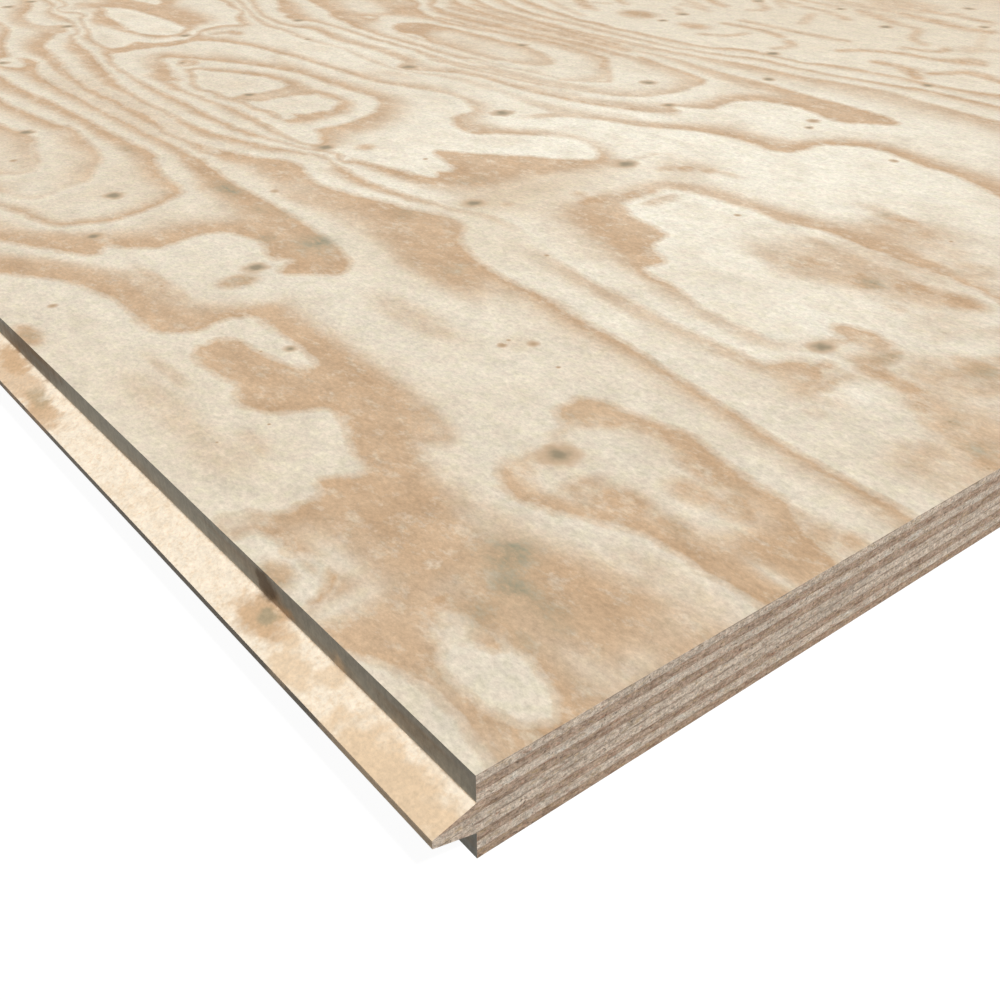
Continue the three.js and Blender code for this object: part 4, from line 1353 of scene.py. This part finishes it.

# %% [markdown]
# Where the knife runs almost along a ring, the latewood comes to the face as thin wandering streaks
# that belong to no closed line. They are drawn as paths like the rings, with a half width and a
# strength before the corners.

# %% Drawn streaks
THIN_LINES = (
    (2.8, 0.85, "277,419 286,408 294,396 297.5,380 298.5,345 302,320 309,300 317,283"),
    (2.4, 0.65, "299,430 303,400 306,378 310,352 317,334 325,313 336,302 352,299 374,302"),
    (3, 0.85, "374,302 381,307 384.5,322 387.5,345 391,362"),
    (2.4, 0.6, "325,352 333,342 341,334 348,341 356,350 364,361"),
    (3.4, 0.8, "358,356 364,362 370,368 375,374"),
    (2.2, 0.5, "324,500 323,470 323.5,440 326,415"),
    (2.2, 0.6, "94,427 92,405 89,382 82,366 73,350"),
    (1.8, 0.5, "75,416 71,405 67,392 64,381 56,378"),
    (4, 0.95, "491,304 500,299 507,290 511,280 513,268 514,258 519,248 522,236"),
    (3.8, 0.85, "496,395 499,372 497,360 493,349"),
    (3.6, 0.75, "511,395 511,350 512,335 514,318"),
    (4.5, 0.95, "484,275 485,262 482,251 476,246 471,240"),
    (4.5, 0.9, "485,241 493,236 499,232 501,225 499,215 497,209"),
    (3.6, 0.8, "525,287 527,277 531,269 537,267 542,271"),
    (3.6, 0.7, "541,284 546,294 553,301 562,304 572,309 577,318 579,332"),
    (4.4, 0.9, "579,332 583,343 589,356 594,368"),
    (3.6, 0.75, "564,356 568,362 572,372 576,385 577,400"),
    (4, 0.6, "534,366 545,372 561,381"),
    (6, 0.95, "606,344 604,328 602,316 599,304 598,292 601,280"),
    (4, 0.9, "625,345 628,330 630,318 627,305 623,291"),
    (3.6, 0.35, "606,288 590,277 575,269 562,262"),
    (5, 0.45, "553,265 556,257 558,250"),
    (3.8, 0.7, "462,383 468,373 475,369 484,368"),
    (3.8, 0.7, "467,331 476,328 483,332 487,339"),
    (3, 0.5, "461,520 456,508 451,495 447,480 444,468"),
    (3.4, 0.5, "475,512 473,500 468,488 462,475"),
    (4.2, 0.85, "548,458 542,447 537,433"),
    (3.6, 0.7, "540,414 547,408 556,414"),
    (3, 0.5, "511,452 503,441 497,433"),
    (4.5, 0.6, "522,438 527,449 532,461"),
    (3, 0.5, "516,427 518,440 520,456"),
    (3.2, 0.85, "375,374 376,385 377,400 378.5,415 378,430 375,444 371.5,458 370,475 369.5,490 "
     "370,505 368,520"),
    (3.6, 0.85, "386,374 388,392 388.5,410 387,430 384,450 384,475 383.5,500 382,530"),
    (5, 0.8, "398,380 397,410 397,440 396,470 395,500 394,540"),
    (3.6, 0.85, "404,395 405,420 407,450 409,475 411,500 412,540"),
    (2.2, 0.7, "413,412 413,395 414,380 413,366"),
    (5, 0.8, "463,484 470,496 477,508"),
    (3.4, 0.55, "480,495 484,487"),
    (3.6, 0.65, "491,478 495,487 500,496"),
    (3.6, 0.75, "577,400 579,410 582,421 585,428"),
    (4.4, 0.7, "591,388 594,400 593,411 596,420"),
    (3, 0.6, "553,412 560,420 566,430"),
    (3, 0.5, "578,424 570,414 563,405"),
    (4.5, 0.65, "622,342 627,330 634,322"),
)
print("streaks:", len(THIN_LINES))

# %% [markdown]
# All of this goes onto the face veneer's mesh as numbers at its points, because an attribute stays
# with the wood wherever the piece goes. The drawn rings fade out beyond the drawn corner, where the
# slow noise takes over.

# %% Growth and soft spots on the face veneer
DRAWN_OUTLINE = ((0, 0), (0, 237), (173, 750), (698, 333), (159, 0))
FADE_WIDTH = 60.0
PACE_LIMITS = (0.002, 0.25)
CROWDED_FROM, CROWDED_TO = 0.06, 0.18
CROWDED_FAINTER = 0.12


def beyond(places, outline):
    """How far each place lies outside a convex outline, in millimetres."""
    most = np.full(len(places), -1e9)
    for start, end in zip(outline, outline[1:] + outline[:1]):
        run = np.subtract(end, start)
        outward = np.array((-run[1], run[0])) / np.hypot(*run)
        most = np.maximum(most, (places - start) @ outward)
    return most


def places_of(mesh):
    """The mesh's points in millimetres from the near tongue-side corner of the face."""
    flat = np.empty(len(mesh.vertices) * 3)
    mesh.vertices.foreach_get("co", flat)
    flat = flat.reshape(-1, 3)[:, :2]
    return (flat - (TONGUE_SHOULDER_X, NEAR_END_Y)) / MM


def carry(mesh, name, values, kind="FLOAT", domain="POINT"):
    """Puts numbers on the mesh under a name that a material can read."""
    layer = mesh.attributes.new(name, kind, domain)
    numbers = np.ascontiguousarray(values, np.float32).ravel()
    layer.data.foreach_set("vector" if kind == "FLOAT_VECTOR" else "value", numbers)


def soft_spot(places, row, power):
    """How strongly a soft spot tells at each place; a higher power fades later."""
    x, y, wide, long, strength = row
    away = np.hypot((places[:, 0] - x) / wide, (places[:, 1] - y) / long)
    return strength * np.exp(-(away**power))


def streak_tone(places, half_width, strength, path):
    """How strongly a drawn streak tells at each place; it is gone within twice its half width."""
    nearest = np.full(len(places), 1e9)
    path = corners(path)
    for start, end in zip(path, path[1:]):
        run = np.subtract(end, start)
        along = np.clip((places - start) @ run / (run @ run), 0, 1)
        off = places - start - along[:, None] * run
        nearest = np.minimum(nearest, np.hypot(off[:, 0], off[:, 1]))
    return strength * np.exp(-((nearest / half_width) ** 3))


def eased_step(values):
    """Rises smoothly from 0 to 1 where the values do."""
    held = np.clip(values, 0, 1)
    return held * held * (3 - 2 * held)


face_mesh = veneers["face_veneer"].data
spots = places_of(face_mesh)
drawn = eased_step(1 - beyond(spots, DRAWN_OUTLINE) / FADE_WIDTH)
growth, pace = np.zeros(len(spots)), np.zeros(len(spots))
needed = drawn > 0
growth[needed], pace[needed] = growth_at(spots[needed], PINS, PIN_WEIGHTS)
pace = PLAIN_PACE + (np.clip(pace, *PACE_LIMITS) - PLAIN_PACE) * drawn
close_rings = eased_step((pace - CROWDED_FROM) / (CROWDED_TO - CROWDED_FROM))
latewood = (1 - CROWDED_FAINTER * close_rings) * (1 - soft_spot(spots, FAINT_REGION, 3))
for row in FAINT_PLACES:
    latewood *= 1 - soft_spot(spots, row, 2)
carry(face_mesh, "growth", growth)
carry(face_mesh, "drawn", drawn)
carry(face_mesh, "pace", pace)
carry(face_mesh, "latewood", latewood)
tan = [soft_spot(spots, row, 4) for row in TAN_PATCHES]
tan += [streak_tone(spots, *row) for row in THIN_LINES]
carry(face_mesh, "patch", np.max(tan, axis=0))
carry(face_mesh, "bright", np.max([soft_spot(spots, row, 3) for row in BRIGHT_PLACES], axis=0))
carry(face_mesh, "dull", np.minimum(sum(soft_spot(spots, row, 2) for row in DULL_PLACES), 1))
carry(face_mesh, "stain", np.minimum(sum(soft_spot(spots, row, 2) for row in STAINS), 0.85))
print("drawn growth reaches", int(needed.sum()), "of", len(spots), "points")

# %% [markdown]
# A knot is only a few millimetres across, finer than the mesh. So each face carries the middle and
# the radius of its nearest knot, and the finish works out the distance itself. The rows over the rest
# of the sheet come from fixed seeds, and none falls on the corner that was drawn.

# %% Knots on the two outer veneers
FACE_SEED = 3
BACK_SEED = 8


def seeded_knots(seed, avoid=None):
    """Rows of knots over the whole sheet, and none inside the drawn outline when one is given."""
    chance = np.random.default_rng(seed)
    found = []
    row = 20.0
    while row < SHEET_LENGTH / MM:
        x = chance.uniform(0, 90)
        while x < SHEET_WIDTH / MM:
            found.append((x, row + chance.normal(0, 9), chance.uniform(2.2, 5.2), 0.0))
            if chance.random() < 0.3:
                beside = (x + chance.normal(0, 9), row + chance.normal(0, 9))
                found.append((*beside, chance.uniform(0.8, 2.4), 1.0))
            x += chance.uniform(75, 115)
        row += chance.uniform(88, 150)
    found = np.array(found)
    return found[beyond(found[:, :2], avoid) > 6] if avoid else found


def give_knots(mesh, knots):
    """Each face carries its nearest knot, counted in that knot's own radii."""
    centres = np.array([polygon.center[:2] for polygon in mesh.polygons])
    centres = (centres - (TONGUE_SHOULDER_X, NEAR_END_Y)) / MM
    nearest = np.zeros(len(centres), int)
    least = np.full(len(centres), 1e9)
    for index, (x, y, radius, _) in enumerate(knots):
        far = np.hypot(centres[:, 0] - x, centres[:, 1] - y) / (radius + 2.0)
        closer = far < least
        nearest[closer], least[closer] = index, far[closer]
    mine = knots[nearest]
    vectors = mine[:, :3] * MM + (TONGUE_SHOULDER_X, NEAR_END_Y, 0.0)
    carry(mesh, "knot", vectors, "FLOAT_VECTOR", "FACE")
    carry(mesh, "pip", mine[:, 3], "FLOAT", "FACE")


hand = [(x, y, r, 0.0) for x, y, r in HAND_KNOTS] + [(x, y, r, 1.0) for x, y, r in PIPS]
face_knots = np.vstack([hand, seeded_knots(FACE_SEED, DRAWN_OUTLINE)])
give_knots(face_mesh, face_knots)
give_knots(veneers["back_veneer"].data, seeded_knots(BACK_SEED))
print("knots and pips on the face:", len(face_knots))

# %% [markdown]
# Last, each dressed veneer takes the place of its plain solid and rides on the sheet's one body.

# %% Hand over to the frame
for name, piece in veneers.items():
    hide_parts(name)
    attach(piece, "root")
